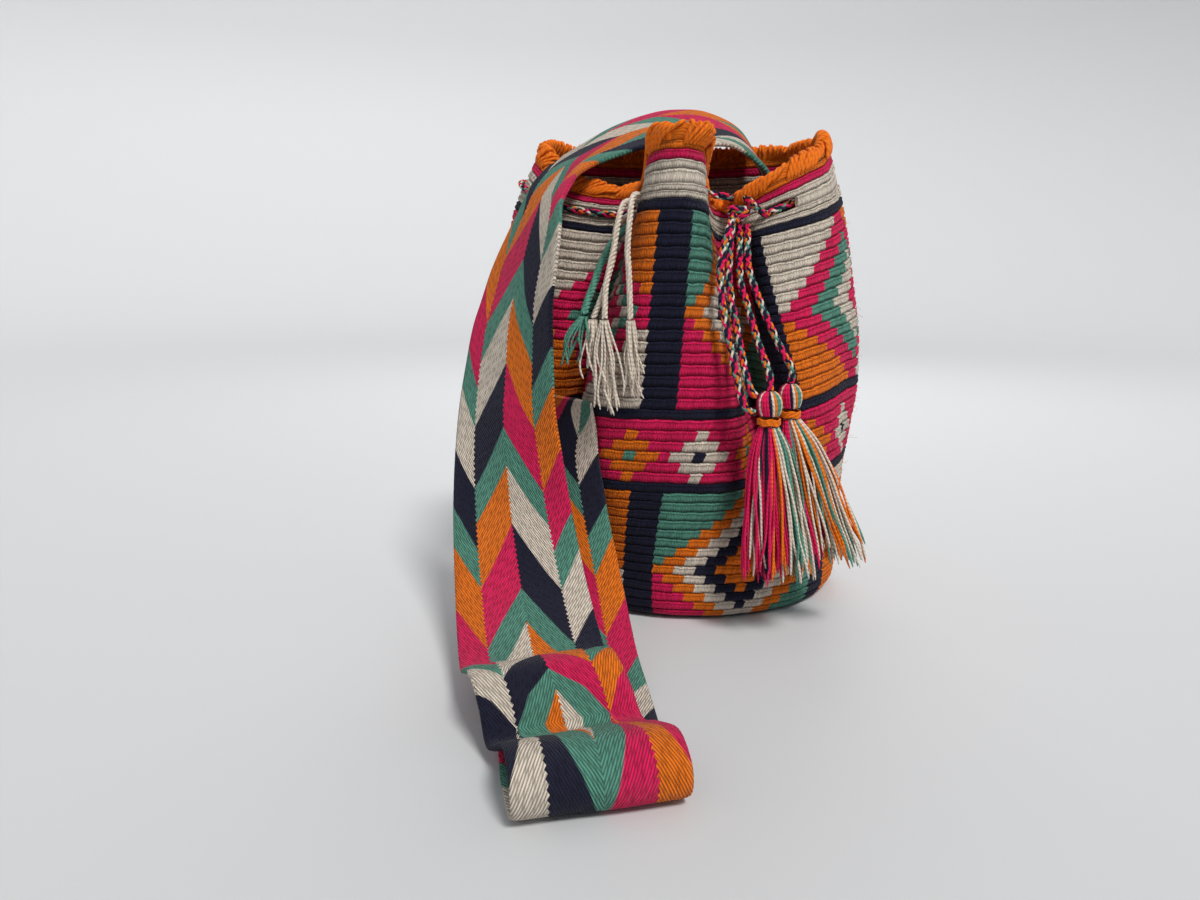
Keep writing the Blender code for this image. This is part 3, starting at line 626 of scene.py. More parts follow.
class Columns:
    """Plan outlines and sag at a set of columns."""

    def __init__(self, x):
        self.x = x
        angle = np.radians(BASE_TURN + 360 / CELLS * x)
        self.base = np.stack([BASE_R * np.sin(angle), -BASE_R * np.cos(angle)], 1)
        self.keys = [self.base] + [at_columns(o, x % CELLS) for o in (MID, SHOULDER, RIM)]
        self.sag = []
        for k in range(len(SAG_V)):
            row = np.interp(np.arange(CELLS) % CELLS, [s[0] for s in SAG], [s[k + 1] for s in SAG])
            for _ in range(3):
                row = (np.roll(row, 1) + 2 * row + np.roll(row, -1)) / 4
            self.sag.append(np.interp(x % CELLS, np.arange(CELLS + 1), np.append(row, row[0])))

    def plan(self, v):
        """Plan points at height v, eased from one outline to the next."""
        if v <= ZV[0]:
            low = max(0.0, 0.02 - v) / 0.02
            return self.base * (1 - 0.13 * (1 - math.sqrt(max(0.0, 1 - low ** 3))))
        k = min(int(np.searchsorted(ZV, v, side="right")) - 1, 2)
        h = ZV[k + 1] - ZV[k]
        t = min(1.0, (v - ZV[k]) / h)

        def slope(i):
            a, b = (0, 1) if i == 0 else (2, 3) if i == 3 else (i - 1, i + 1)
            return (self.keys[b] - self.keys[a]) / (ZV[b] - ZV[a]) * (0.3 if i == 0 else 1)

        a, b = self.keys[k], self.keys[k + 1]
        return (a * (2 * t ** 3 - 3 * t * t + 1) + slope(k) * h * (t ** 3 - 2 * t * t + t)
                + b * (3 * t * t - 2 * t ** 3) + slope(k + 1) * h * (t ** 3 - t * t))

    def ring(self, v, offset):
        """Ring at height v, offset outwards from the middle of the wall."""
        p = self.plan(v)
        along = np.roll(p, -1, 0) - np.roll(p, 1, 0)
        along /= np.linalg.norm(along, axis=1, keepdims=True)
        out = np.stack([along[:, 1], -along[:, 0]], 1)
        k = min(max(int(np.searchsorted(SAG_V, v, side="right")) - 1, 0), len(SAG_V) - 2)
        t = (v - SAG_V[k]) / (SAG_V[k + 1] - SAG_V[k])
        z = v + self.sag[k] * (1 - t) + self.sag[k + 1] * t
        return np.column_stack([p + out * np.broadcast_to(offset, (len(p),))[:, None], z])


def handmade(x, v):
    """Small unevenness of the wall, in metres, the same again after 100 columns."""
    a = 2 * np.pi * x / CELLS
    waves = np.sin(7 * a + 31 * v) + np.sin(13 * a - 57 * v + 1.3) + np.sin(23 * a + 110 * v + 2.1)
    return 0.00035 * waves / 1.6


def wavy(x, v):
    """How far a course strays up or down, in metres."""
    a = 2 * np.pi * x / CELLS
    waves = np.sin(17 * a + 330 * v) + np.sin(41 * a - 240 * v + 1.7) + np.sin(67 * a + 520 * v + 0.6)
    return 0.00024 * min(1.0, v / 0.02) * waves / 1.7


def courses():
    """Single courses from the base up: (low, high, course, zone)."""
    rows = []

    def stack(top, tall, count, zone):
        """Courses of one panel, numbered from its top."""
        rows.extend((top - tall * n, top - tall * (n - 1), n, zone) for n in range(count, 0, -1))

    stack(LOWER_TOP, LOWER_P, 14, "low")
    rows.append((LOWER_TOP, 0.0945, 0, "navy"))
    stack(BAND_TOP, BAND_P, 6, "band")
    rows.append((BAND_TOP, 0.1428, 0, "navy"))
    stack(UPPER_TOP, UPPER_P, 17, "up")
    rows += [(UPPER_TOP, 0.2708, 0, "navy"), (0.2708, 0.2752, 0, "cream"), (0.2752, 0.2795, 0, "cream"),
             (0.2795, 0.2880, 0, "slit"), (0.2880, 0.2935, 0, "cream"), (0.2935, 0.2995, 0, "pink"),
             (0.2995, EDGE_FOOT, 0, "orange")]
    return rows


def colour_of(cell, row):
    """Yarn of one cell of a course."""
    _, _, course, zone = row
    if zone in ("low", "up"):
        return panel_color(cell, course, zone)
    if zone == "band":
        return band_color(cell, course)
    return "cream" if zone == "slit" else zone


ROWS = courses()
UPPER_FROM = [r[0] for r in ROWS].index(BAND_TOP)         # where wall_upper starts
EYELETS_FROM = [r[0] for r in ROWS].index(UPPER_TOP)      # where wall_rim starts
SLIT_ROW = [r[3] for r in ROWS].index("slit")             # the course with the eyelets
COLS = {lean: Columns(np.arange(CELLS * FINE) / FINE - 0.5 + LEAN * lean) for _, lean, _ in STEPS}
ALONG = np.arange(CELLS * FINE + 1) / FINE          # cells from the seam, with the seam twice


def stitch_place(course):
    """Coordinates of a whole ring: stitches along, courses up."""
    return np.column_stack([(ALONG - 0.5) * STITCHES, np.full(len(ALONG), course)])


def wall(first, last, side=1):
    """Rings, coordinates and colours of courses first to last; side -1 is the inside."""
    rings, coords, colours = [], [], []
    for n in range(first, last):
        low, high, _, zone = ROWS[n]
        row = [NAMES.index(colour_of(c, ROWS[n])) for c in range(CELLS)]
        for t, lean, relief in STEPS:
            v = low + (high - low) * t
            cols = COLS[lean]
            calm = 0.4 if zone == "slit" else 1.0
            stitch = 0.00028 * (t > 0) * np.where(np.arange(len(cols.x)) % 2, 1, -1)
            stitch = stitch * (1 + 0.8 * np.sin(cols.x * 11.3 + n * 5.1))
            off = side * (WALL / 2 + (relief + stitch) * (calm if side > 0 else 0.7))
            off = off + handmade(cols.x, v) * calm
            ring_ = cols.ring(v, off)
            ring_[:, 2] += wavy(cols.x, v) * calm
            rings.append(ring_)
            coords.append(stitch_place(n + t))
            colours.append(np.repeat(row, FINE))
    if last < len(ROWS):
        low, cols = ROWS[last][0], COLS[0.0]
        off = side * (WALL / 2 - 0.0009 * (1 if side > 0 else 0.7))
        rings.append(cols.ring(low, off + handmade(cols.x, low)))
        coords.append(stitch_place(last))
    return np.array(rings), np.array(coords), np.array(colours)


def base_disc(side):
    """Spiral rounds of the base, from the wall's first ring to the middle."""
    start = COLS[0.0].ring(ROWS[0][0], 0)
    rings, coords, colours = [], [], []
    z0 = start[:, 2].mean()
    plan = yarns("nppoocggnppocn")
    for n, name in enumerate(plan):
        for t, _, relief in STEPS[1:]:
            f = 1 - (n + t) / len(plan)
            ring_ = start.copy()
            ring_[:, :2] *= f * (1 if side > 0 else INNER)
            ring_[:, 2] = z0 * 0.15 + 0.0003 - relief * 0.1 if side > 0 else WALL - 0.0002
            rings.append(ring_)
            coords.append(stitch_place(n + t))
            colours.append(np.full(CELLS * FINE, NAMES.index(name)))
    return np.array(rings), np.array(coords), np.array(colours)


FUZZ_R = 0.00006         # stray fibres


def fuzz(rng, points, colours, count, out):
    """Stray fibres standing off a surface; out gives the outward direction at each point."""
    parts = []
    for i, j in zip(rng.integers(12, len(points) - 1, count), rng.integers(0, points.shape[1], count)):
        lie = rng.normal(0, 1, 3)
        way = out[i, j] * rng.uniform(0.5, 1.2) + lie * 0.55
        span = rng.uniform(0.0012, 0.0030)
        s = np.linspace(0, 1, 4)[:, None]
        line = points[i, j] - out[i, j] * 0.0002 + way * span * s + rng.normal(0, 0.35, 3) * span * s ** 2
        parts.append(tube(line, FUZZ_R, int(colours[i, j % colours.shape[1]]), 3))
    return parts


def wall_piece(name, parts, mats=CROCHET_MATS):
    """Part of the crocheted wall."""
    piece(name, parts, mats, ["bag_body"])


def make_wall():
    """Outer face in two pieces, base, stray fibres and lining, up to the eyelet courses."""
    rings, coords, colours = wall(0, EYELETS_FROM)
    half = UPPER_FROM * len(STEPS)
    thin = slice(None, None, THIN)
    thin_at = np.arange(0, CELLS * FINE + 1, THIN)
    disc, disc_at, disc_col = base_disc(1)
    wall_piece("wall_lower", [grid(rings[:half + 1], coords[:half + 1], colours[:half], closed=True)])
    wall_piece("wall_base", [grid(np.concatenate([rings[:1], disc])[:, thin],
                                  np.concatenate([coords[:1], disc_at])[:, thin_at],
                                  disc_col[:, thin], closed=True, flip=True)])
    wall_piece("wall_upper", [grid(rings[half:], coords[half:], colours[half:], closed=True)])
    out = (rings - rings.mean(axis=1, keepdims=True)) * (1, 1, 0)
    out /= np.linalg.norm(out, axis=2, keepdims=True)
    wall_piece("wall_fuzz", fuzz(np.random.default_rng(8), rings, colours, 2600, out), PLY_MATS)
    inner, at, col = wall(0, EYELETS_FROM, -1)
    inner[:len(STEPS), :, :2] *= INNER
    inner[0, :, 2] = WALL
    disc, disc_at, disc_col = (rows[3::4] for rows in base_disc(-1))       # one ring to a round
    wall_piece("wall_lining", [grid(inner[:, thin], at[:, thin_at], col[:, thin], closed=True, flip=True),
                               grid(np.concatenate([inner[:1], disc])[:, thin],
                                    np.concatenate([at[:1], disc_at])[:, thin_at],
                                    disc_col[:, thin], closed=True)])


def flare_at(x):
    """How far the edging leans out: most at the right shoulder of the folded front."""
    return 0.0055 * np.exp(-((x - 4) / 5) ** 2) + 0.0025 * np.exp(-((x - 97) / 5) ** 2)


def shell_arch(share):
    """Height of a shell across its width, from 0 at its ends to 1."""
    return np.sin(np.pi * share) ** 0.55


def make_edging():
    """Loops of thick yarn over the top edge, fanned out of the middle of each shell."""
    rng = np.random.default_rng(3)
    cols, whole = COLS[0.0], np.append(COLS[0.0].x, COLS[0.0].x[0] + CELLS)
    # Stations of a loop: height, distance off the wall's outer face, share of the lean.
    profile = [(0.3020, 0.0006, 0.0), (0.3046, 0.0016, 0.1), (0.3075, 0.0022, 0.32), (0.3105, 0.0019, 0.6),
               (EDGE_TOP, 0.0011, 0.82), (0.3139, -WALL / 2, 0.95), (0.3122, -WALL - 0.0010, 1.02),
               (0.3090, -WALL - 0.0012, 1.08), (0.3055, -WALL + 0.0002, 1.1)]
    rings, rises = [], []
    for v, off, _ in profile:
        t = np.clip((v - EDGE_FOOT) / (EDGE_TOP - EDGE_FOOT), 0, 1)
        ring_ = cols.ring(min(v, EDGE_TOP), WALL / 2 + off + flare_at(cols.x) * t)
        ring_[:, 2] += max(0.0, v - EDGE_TOP)
        rings.append(np.vstack([ring_, ring_[:1]]))
        rises.append(t)
    parts = []
    for shell in range(CELLS // SHELL):
        for j in range(LOOPS):
            f = (j + 0.5) / LOOPS
            low = SHELL * (shell + 0.5 + (f - 0.5) * 0.62) - 0.5 + rng.normal(0, 0.06)
            high = SHELL * (shell + f) - 0.5 + 0.55 + rng.normal(0, 0.10)
            tall = rng.normal(0, 0.0004)
            line = []
            for (_, _, lean), ring_, t in zip(profile, rings, rises):
                x = (low + (high - low) * lean + 0.05 + 1.1 * lean) % CELLS - 0.5
                p = np.array([np.interp(x, whole, ring_[:, k]) for k in range(3)])
                p[2] += t * (SCALLOP * (shell_arch((x + 0.5) % SHELL / SHELL) - 0.62) + tall)
                line.append(p)
            smooth = spline(line, 3)
            thick = 0.00128 * rng.uniform(0.88, 1.12)
            thick = thick * np.interp(np.linspace(0, 1, len(smooth)), [0, .12, .8, 1], [.6, 1, 1, .5])
            parts.append(tube(smooth, thick, NAMES.index("orange"), 6, turns=230))
    piece("wall_edging", parts, PLY_MATS, ["bag_body"])


def eyelet_sides(lo, hi, n, size):
    """Quads that join the outer and inner faces round each eyelet, on rings lo to hi of n points."""
    quads = []
    for s in SLITS:
        for j in range(s * FINE, (s + EYELET) * FINE):
            k = (j + 1) % n
            j %= n
            quads.append((lo * n + j, lo * n + k, size + lo * n + k, size + lo * n + j))
            quads.append((hi * n + k, hi * n + j, size + hi * n + j, size + hi * n + k))
        for j, way in ((s * FINE % n, 1), ((s + EYELET) * FINE % n, -1)):
            for i in range(lo, hi):
                quads.append((i * n + j, size + i * n + j, size + (i + 1) * n + j, (i + 1) * n + j)[::way])
    return np.array(quads)


def make_rim():
    """Eyelet courses, closing courses and the edging's base, both faces, with the eyelets open."""
    outer, at, col = wall(EYELETS_FROM, len(ROWS))
    inner, _, _ = wall(EYELETS_FROM, len(ROWS), -1)
    cols = COLS[0.0]
    x = cols.x
    local = ((x + 0.5) % SHELL) / SHELL
    rise = SCALLOP * (shell_arch(local) - 0.62)
    loops = 0.5 + 0.5 * np.cos(2 * np.pi * 7 * local)
    u = (ALONG % SHELL) / SHELL - 0.5
    turn = np.floor(ALONG / SHELL) * LOOPS
    u[-1], turn[-1] = 0.5, turn[-2]
    shell_out, shell_in, shell_at = [], [], []
    for t in (0.0, 0.08, 0.2, 0.35, 0.5, 0.65, 0.8, 0.92, 1.0):
        v = EDGE_FOOT + (EDGE_TOP - EDGE_FOOT) * t
        puff = np.sin(np.pi * min(1.0, 0.15 + t * 0.75)) * 0.0004 - 0.0008 * (t == 0)
        thick = WALL / 2 * (1 if t < 0.9 else 0.72)
        flare = flare_at(x) * t
        for rings, off in ((shell_out, thick + puff), (shell_in, -thick - puff * 0.7)):
            ring_ = cols.ring(v, flare + off + handmade(x, v))
            ring_[:, 2] += t * (rise + 0.0006 * loops * (t > 0.6))
            rings.append(ring_)
        shell_at.append(np.column_stack([turn + 5.0 * u / (0.60 + 0.55 * t) + 1.9 * t,
                                         np.full(len(u), len(ROWS) + 0.30 + 0.12 * t)]))
    top = cols.ring(EDGE_TOP, flare)
    top[:, 2] += rise + 0.0006
    rings_o = np.concatenate([outer, shell_out, [top]])
    rings_i = np.concatenate([inner, shell_in, [top]])
    coords = np.concatenate([at, shell_at, [shell_at[-1] + (0, 0.05)]])
    orange = np.full((len(shell_at) + 1, CELLS * FINE), NAMES.index("orange"))
    colours = np.concatenate([col, orange])[:len(rings_o) - 1]
    keep = np.ones(colours.shape, bool)
    lo = (SLIT_ROW - EYELETS_FROM) * len(STEPS)
    hi = lo + len(STEPS)
    for s in SLITS:
        keep[lo:hi, s * FINE:(s + EYELET) * FINE] = False
    n = rings_o.shape[1]
    quads = eyelet_sides(lo, hi, n, rings_o.shape[0] * n)
    points = np.concatenate([rings_o.reshape(-1, 3), rings_i.reshape(-1, 3)])
    uv = np.tile(np.array([(0, 0.4), (0.5, 0.4), (0.5, 0.5), (0, 0.5)]), (len(quads), 1, 1))
    wall_piece("wall_rim", [grid(rings_o, coords, colours, closed=True, keep=keep),
                            grid(rings_i, coords, colours, closed=True, keep=keep, flip=True),
                            (points, quads, np.full(len(quads), NAMES.index("cream")), uv)])


make_wall()
make_rim()
make_edging()

# ---------------------------------------------------------------- woven strap

# Strap stations from the end sewn inside the right rim: left or far edge, right or near edge.
STRAP = [
    ((.0945, .004, .262), (.0925, -.030, .262)), ((.0800, .006, .268), (.0780, -.030, .266)),
    ((.0600, .014, .283), (.0560, -.032, .280)), ((.0490, .026, .306), (.0440, -.034, .296)),
    ((.0360, .036, .330), (.0229, -.033, .3100)), ((.0132, .041, .3425), (-.0026, -.033, .310)),
    ((-.0076, .042, .3446), (-.0228, -.033, .310)), ((-.0279, .041, .342), (-.0358, -.034, .3095)),
    ((-.0565, .034, .3315), (-.0657, -.041, .2994)), ((-.0823, .012, .3145), (-.0796, -.062, .2903)),
    ((-.0995, -.018, .3000), (-.0843, -.083, .2820)), ((-.1124, -.040, .2836), (-.0900, -.102, .2690)),
    ((-.1215, -.050, .2645), (-.0905, -.118, .2555)), ((-.1305, -.053, .2465), (-.0920, -.1215, .2405)),
    ((-.1388, -.056, .2280), (-.0941, -.1225, .2235)), ((-.1454, -.060, .2083), (-.0959, -.123, .2085)),
    ((-.1513, -.064, .1900), (-.0961, -.123, .1910)), ((-.1558, -.070, .1659), (-.0957, -.124, .1700)),
    ((-.1599, -.079, .1382), (-.0946, -.1255, .1426)), ((-.1615, -.092, .1091), (-.0904, -.128, .1152)),
    ((-.1610, -.109, .0817), (-.0849, -.134, .0843)), ((-.1582, -.131, .0603), (-.0798, -.146, .0630)),
    ((-.1539, -.158, .0424), (-.0741, -.164, .0427)), ((-.1479, -.193, .0270), (-.0681, -.188, .0285)),
    ((-.1412, -.227, .0215), (-.0637, -.2066, .0215)), ((-.1352, -.2470, .0295), (-.0620, -.2210, .0300)),
    ((-.1300, -.2640, .0325), (-.0585, -.2360, .0325)), ((-.1250, -.2745, .0225), (-.0520, -.2450, .0220)),
    ((-.1205, -.2850, .0090), (-.0455, -.2590, .0090)), ((-.1120, -.3030, .0190), (-.0385, -.2810, .0185)),
    ((-.1080, -.3230, .0280), (-.0320, -.3060, .0280)), ((-.1050, -.3360, .0220), (-.0280, -.3190, .0220)),
    ((-.1040, -.3400, .0130), (-.0270, -.3225, .0130)), ((-.1045, -.3365, .0055), (-.0280, -.3190, .0055)),
    ((-.1070, -.3260, .0024), (-.0300, -.3080, .0024)), ((-.1130, -.2980, .0024), (-.0350, -.2790, .0024)),
    ((-.1170, -.2680, .0024), (-.0375, -.2480, .0024)), ((-.1190, -.2430, .0050), (-.0405, -.2220, .0050)),
    ((-.1245, -.2060, .0125), (-.0455, -.1935, .0130)), ((-.1288, -.1760, .0235), (-.0490, -.1720, .0240)),
    ((-.1325, -.1470, .0370), (-.0525, -.1520, .0375)), ((-.1365, -.1220, .0560), (-.0570, -.1340, .0555)),
    ((-.1390, -.1030, .0730), (-.0610, -.1220, .0720)), ((-.1400, -.0880, .0920), (-.0645, -.1135, .0905)),
    ((-.1370, -.0790, .1120), (-.0680, -.1085, .1100)), ((-.1200, -.0840, .1310), (-.0695, -.1070, .1285)),
    ((-.1000, -.0970, .1500), (-.0725, -.1090, .1460)),
]


# Where the stripes fall: run along the strap, place in the pattern. The strap turns over at FOLD.
FOLD = 0.677
PATTERN = [(0.0, -0.298), (.4012, .034), (.4421, .068), (.4671, .089), (.5055, .123), (.5515, .157),
           (.5789, .178), (.630, .212), (.6505, .246), (.6610, .267), (FOLD, .281), (.734, .267),
           (.772, .246), (.848, .169), (.870, .135), (.897, .114), (.947, .080), (.994, .046),
           (1.018, .025), (1.084, -.041)]
YARN_RUN = 0.83           # run of the yarns to run along the strap
RUN_END = 1.0905          # run at the last station
ACROSS = 44               # points across one face


def make_strap():
    """Flat woven band with rounded edges, closed at both ends."""
    path = spline(np.array([np.concatenate(s) for s in STRAP]), 9)
    left, right = path[:, :3], path[:, 3:]
    mid = (left + right) / 2
    run = run_of(mid)
    flat = float(run[-1])
    run += RUN_END - flat
    n = np.cross(np.gradient(mid, axis=0), right - left)
    n /= np.linalg.norm(n, axis=1, keepdims=True)
    w = np.concatenate([np.linspace(0, 1, ACROSS), np.linspace(1, 0, ACROSS)])
    face = np.repeat([1.0, -1.0], ACROSS)
    edge = np.abs(2 * w - 1)
    thick = STRAP_T / 2 * np.sqrt(np.clip(1 - (edge ** 14) * 0.8, 0, 1))
    thick = thick * (1 + 0.12 * np.exp(-((1 - edge) / 0.06) ** 2))          # a bead along each edge
    points = left[:, None] + (right - left)[:, None] * w[:, None] + n[:, None] * (face * thick)[:, None]
    wave = 0.0004 * np.sin(run[:, None] * 95 + 7 * w) * np.sin(np.pi * w)
    points = points + n[:, None] * wave[..., None]
    pattern = np.interp(run, *zip(*PATTERN))
    yarn = YARN_RUN * (FOLD - np.abs(run - FOLD))
    coords, strands = (np.stack(np.broadcast_arrays(at[:, None], np.append(w, 0.0)), -1)
                       for at in (pattern, yarn))
    parts = [grid(points, coords, closed=True, flip=True)]
    second = [grid(points, strands, closed=True, flip=True)[3]]
    for i in (0, len(points) - 1):
        pair = np.stack([points[i, :ACROSS], points[i, ACROSS:][::-1]])
        at = np.stack([np.column_stack([np.full(ACROSS, pattern[i]), w[:ACROSS]])] * 2)
        parts.append(grid(pair, at, flip=i > 0))
        second.append(parts[-1][3])
    strap = piece("strap_weave", parts, [STRAP_MAT], ["strap"], second=np.concatenate(second))


make_strap()

# ---------------------------------------------------------------- braided drawstring

BRAID_YARNS = yarns("pnconpng")
KNOT = Vector((.0185, -.0945, .2625))
KNOT_R = .0062            # half the knot's height
LEAD_Z = KNOT.z + KNOT_R + .0034     # where the cord comes down to the knot


def braid(name, path, nodes, diameter=CORD_D):
    """Round braid of eight yarns along a path, and its centre line."""
    line = even(path, 0.0013)
    r = diameter / 2
    parts = twisted(line, r * 0.60, 8, r * 0.40, 0.021, BRAID_YARNS, over=r * 0.13, sides=6)
    return piece(name, parts, PLY_MATS, nodes), line


def drawstring_route():
    """Centre line once round the mouth, in and out of the eyelets, from the knot and back to it."""
    low, high, _, _ = ROWS[SLIT_ROW]
    start, end = SLITS[1], SLITS[0] + CELLS
    marks = [s + CELLS * (s < start) for s in SLITS]
    side, sign = {}, 1                    # of each cell: 1 outside the wall, -1 inside
    cells = np.arange(start, end + EYELET + 1)
    for c in cells:
        if c in marks:
            for k in range(EYELET + 1):
                side[c + k] = sign * math.cos(math.pi * k / EYELET)
            sign = -sign
        elif c not in side:
            side[c] = sign
    x = np.linspace(cells[0], cells[-1], 900)
    off = np.interp(x, cells, [side[c] for c in cells])
    lanes = [COLS[0.0].ring((low + high) / 2, o) for o in (-CORD_OFF, 0, CORD_OFF)]
    route = []
    for k in range(3):
        inside, middle, outside = (np.interp(x % CELLS, ALONG, np.append(r[:, k], r[0, k])) for r in lanes)
        route.append(middle + np.where(off > 0, outside - middle, middle - inside) * off)
    lead = [(KNOT.x + .0045, KNOT.y, LEAD_Z)]
    tail = [(KNOT.x - .0030, KNOT.y + .001, LEAD_Z)]
    return spline(np.concatenate([lead, np.stack(route, 1)[::6], tail]), 4)


def make_drawstring():
    """Drawstring, and its knot as a flattened trefoil of the same braid."""
    obj, line = braid("drawstring_braid", drawstring_route(), ["drawstring"])
    t = np.linspace(0, 2 * np.pi, 90, endpoint=False)
    loop = np.stack([np.sin(t) + 2 * np.sin(2 * t), np.cos(t) - 2 * np.cos(2 * t), -np.sin(3 * t) * 1.5], 1)
    loop = np.vstack([loop, loop[:1]]) * (0.0021, 0.0014, 0.0017)
    loop[:, [1, 2]] = loop[:, [2, 1]]
    braid("drawstring_knot_braid", spline(loop + np.array(KNOT), 2), ["drawstring_knot"], CORD_D * 0.95)


# Drawstring ends, from the knot down.
TAILS = {
    "tail_1": [(.0245, -.0945, .2560), (.0250, -.0950, .2480), (.0258, -.1000, .2296),
               (.0308, -.1080, .2137), (.0375, -.1160, .1972), (.0465, -.1205, .1800),
               (.0535, -.1230, .1690), (.0545, -.1235, .1602)],
    "tail_2": [(.0198, -.0935, .2560), (.0203, -.0930, .2480), (.0205, -.1005, .2223),
               (.0235, -.1060, .2099), (.0275, -.1120, .1954), (.0320, -.1230, .1790),
               (.0358, -.1325, .1670), (.0365, -.1345, .1572)],
    "tail_3": [(.0151, -.0960, .2562), (.0138, -.0990, .2470), (.0125, -.1050, .2259),
               (.0138, -.1100, .2098), (.0160, -.1160, .1968), (.0185, -.1225, .1811),
               (.0215, -.1290, .1650), (.0245, -.1325, .1560), (.0274, -.1335, .1538)],
    "tail_4": [(.0140, -.1004, .2590), (.0125, -.1066, .2550), (.0085, -.1135, .2440),
               (.0056, -.1180, .2282), (.0062, -.1210, .2115), (.0098, -.1240, .1921),
               (.0132, -.1275, .1750), (.0165, -.1310, .1600), (.0195, -.1335, .1490),
               (.0230, -.1345, .1445), (.0267, -.1345, .1438)],
}

# ---------------------------------------------------------------- tassels

def yarn_fan(rng, stations, count, radius, order, ragged, turn=0.0, loose=1.0):
    """Loose yarns from a tight bundle to a spread skirt.
    A station is the middle (x, y, z) and the spread along x and y; the ends differ by up to ragged."""
    st = np.array(stations)
    fall = run_of(st[:, :3])
    parts = []
    for k in range(count):
        phi = 2 * np.pi * (k + 0.6 * rng.random()) / count + turn
        rho = math.sqrt(rng.uniform(0.30, 1.0)) if k % 3 else rng.uniform(0.25, 0.8)
        end = fall[-1] - rng.uniform(0, ragged)
        s = np.linspace(0, end, 24)
        x, y, z, wide, deep = (np.interp(s, fall, st[:, i]) for i in range(5))
        a = phi + rng.normal(0, 0.22 * loose) * (s / end) ** 1.3
        size = rng.uniform(0.3, 1.0) * 0.0015 * loose
        wave = size * np.sin(s * rng.uniform(60, 150) + rng.uniform(0, 6)) * (s / end)
        grow = rho + rng.normal(0, 0.13 * loose) * (s / end)
        out, front = wide * grow * np.cos(a) + wave, deep * grow * np.sin(a) - 0.6 * wave
        line = np.stack([x + out, y + front, z], 1)
        share = (phi % (2 * np.pi)) / (2 * np.pi)
        colour = order[int(share * len(order) + rng.integers(0, 2)) % len(order)]
        thick = radius * rng.uniform(0.85, 1.1)
        parts.append(tube(spline(line[::3], 4), thick, NAMES.index(colour), 5, turns=360, taper=0.35))
    return parts


HEAD_H = 0.0150           # height of a tassel's head
STRIPED = yarns("gcpcnpocpponppcpnpopcgco")
# Tassels: side, top of the head, its radius, first direction and colours of the skirt, its stations.
TASSELS = [
    ("left", (.0350, -.1345, .1560), .0080, math.pi, STRIPED,
     [(.0352, -.1345, .1352, .0060, .0056), (.0360, -.1352, .1290, .0105, .0080),
      (.0385, -.1372, .1050, .0170, .0098), (.0420, -.1395, .0660, .0225, .0112),
      (.0450, -.1405, .0290, .0255, .0115)]),
    ("right", (.0498, -.1225, .1590), .0076, 2.4, yarns("gcocnpocpgonpcnpgcocgoco"),
     [(.0503, -.1228, .1382, .0056, .0052), (.0530, -.1236, .1320, .0100, .0076),
      (.0600, -.1248, .1080, .0180, .0095), (.0690, -.1270, .0700, .0250, .0105),
      (.0765, -.1280, .0360, .0315, .0110)])]


def head_yarns(x, y, z, r, count=26):
    """Striped yarns laid down over a dark core; z is the top."""
    parts = []
    s = np.linspace(0, 1, 12)
    down = z + 0.0003 - s * (HEAD_H - 0.0012)
    rad = (r - 0.0009) * np.interp(s, [0, .12, .35, .6, .85, 1], [.36, .74, .97, 1, .90, .78])
    for k in range(count):
        a = 2 * np.pi * k / count + 0.15 + 0.25 * s
        line = np.stack([x + rad * np.cos(a), y + rad * np.sin(a), down], 1)
        colour = NAMES.index(STRIPED[(k * 3 + 2 + k // 5) % 24])
        parts.append(tube(spline(line, 3), 0.00092, colour, 6, turns=360))
    core = np.array([(x, y, z - 0.0006 - d) for d in np.linspace(0, HEAD_H - .001, 8)])
    thick = np.interp(np.arange(8), [0, 1, 3, 5, 7], [.0020, .0052, .0066, .0066, .005]) * r / .008
    return parts + [tube(core, thick, NAMES.index("navy"), 12)]


def make_tassels():
    """Skirt, head and binding of each tassel; gives them by side as head, binding, skirt."""
    rng = np.random.default_rng(11)
    made = {}
    for side, (x, y, z), r, turn, order, rows in TASSELS:
        skirt = piece("fringe_" + side, yarn_fan(rng, rows, 150, 0.00076, order, 0.018, turn), PLY_MATS,
                      ["tassel_skirt_" + side])
        head = piece("tassel_top_" + side, head_yarns(x, y, z, r), PLY_MATS,
                     ["tassel_head_" + side])
        t = np.linspace(0, 4 * 2 * np.pi, 130)                 # four turns of binding
        coil = np.stack([x + r * .82 * np.cos(t), y + r * .82 * np.sin(t),
                         z - HEAD_H - 0.0006 - 0.0036 * t / t[-1] - 0.0004 * np.sin(5 * t)], 1)
        wrap = piece("tassel_wrap_" + side, [tube(coil, 0.00075, NAMES.index("orange"), 6)], PLY_MATS,
                     ["tassel_binding_" + side])
        made[side] = [head, wrap, skirt]
    return made


DRAWN_IN = {"tail_1": (.0047, .001), "tail_2": (.0015, 0)}     # how far a lower end is moved in x and y


def make_tails(made):
    """The drawstring's four ends; two of them carry the tassels."""
    for name, pts in TAILS.items():
        dx, dy = DRAWN_IN.get(name, (0, 0))
        last = len(pts) - 1
        pts = [(x - dx * (k / last) ** 2, y + dy * k / last, z) for k, (x, y, z) in enumerate(pts)]
        obj, line = braid("drawstring_" + name + "_braid", spline(pts, 12), ["drawstring_" + name])


# ---------------------------------------------------------------- ties on the strap's end

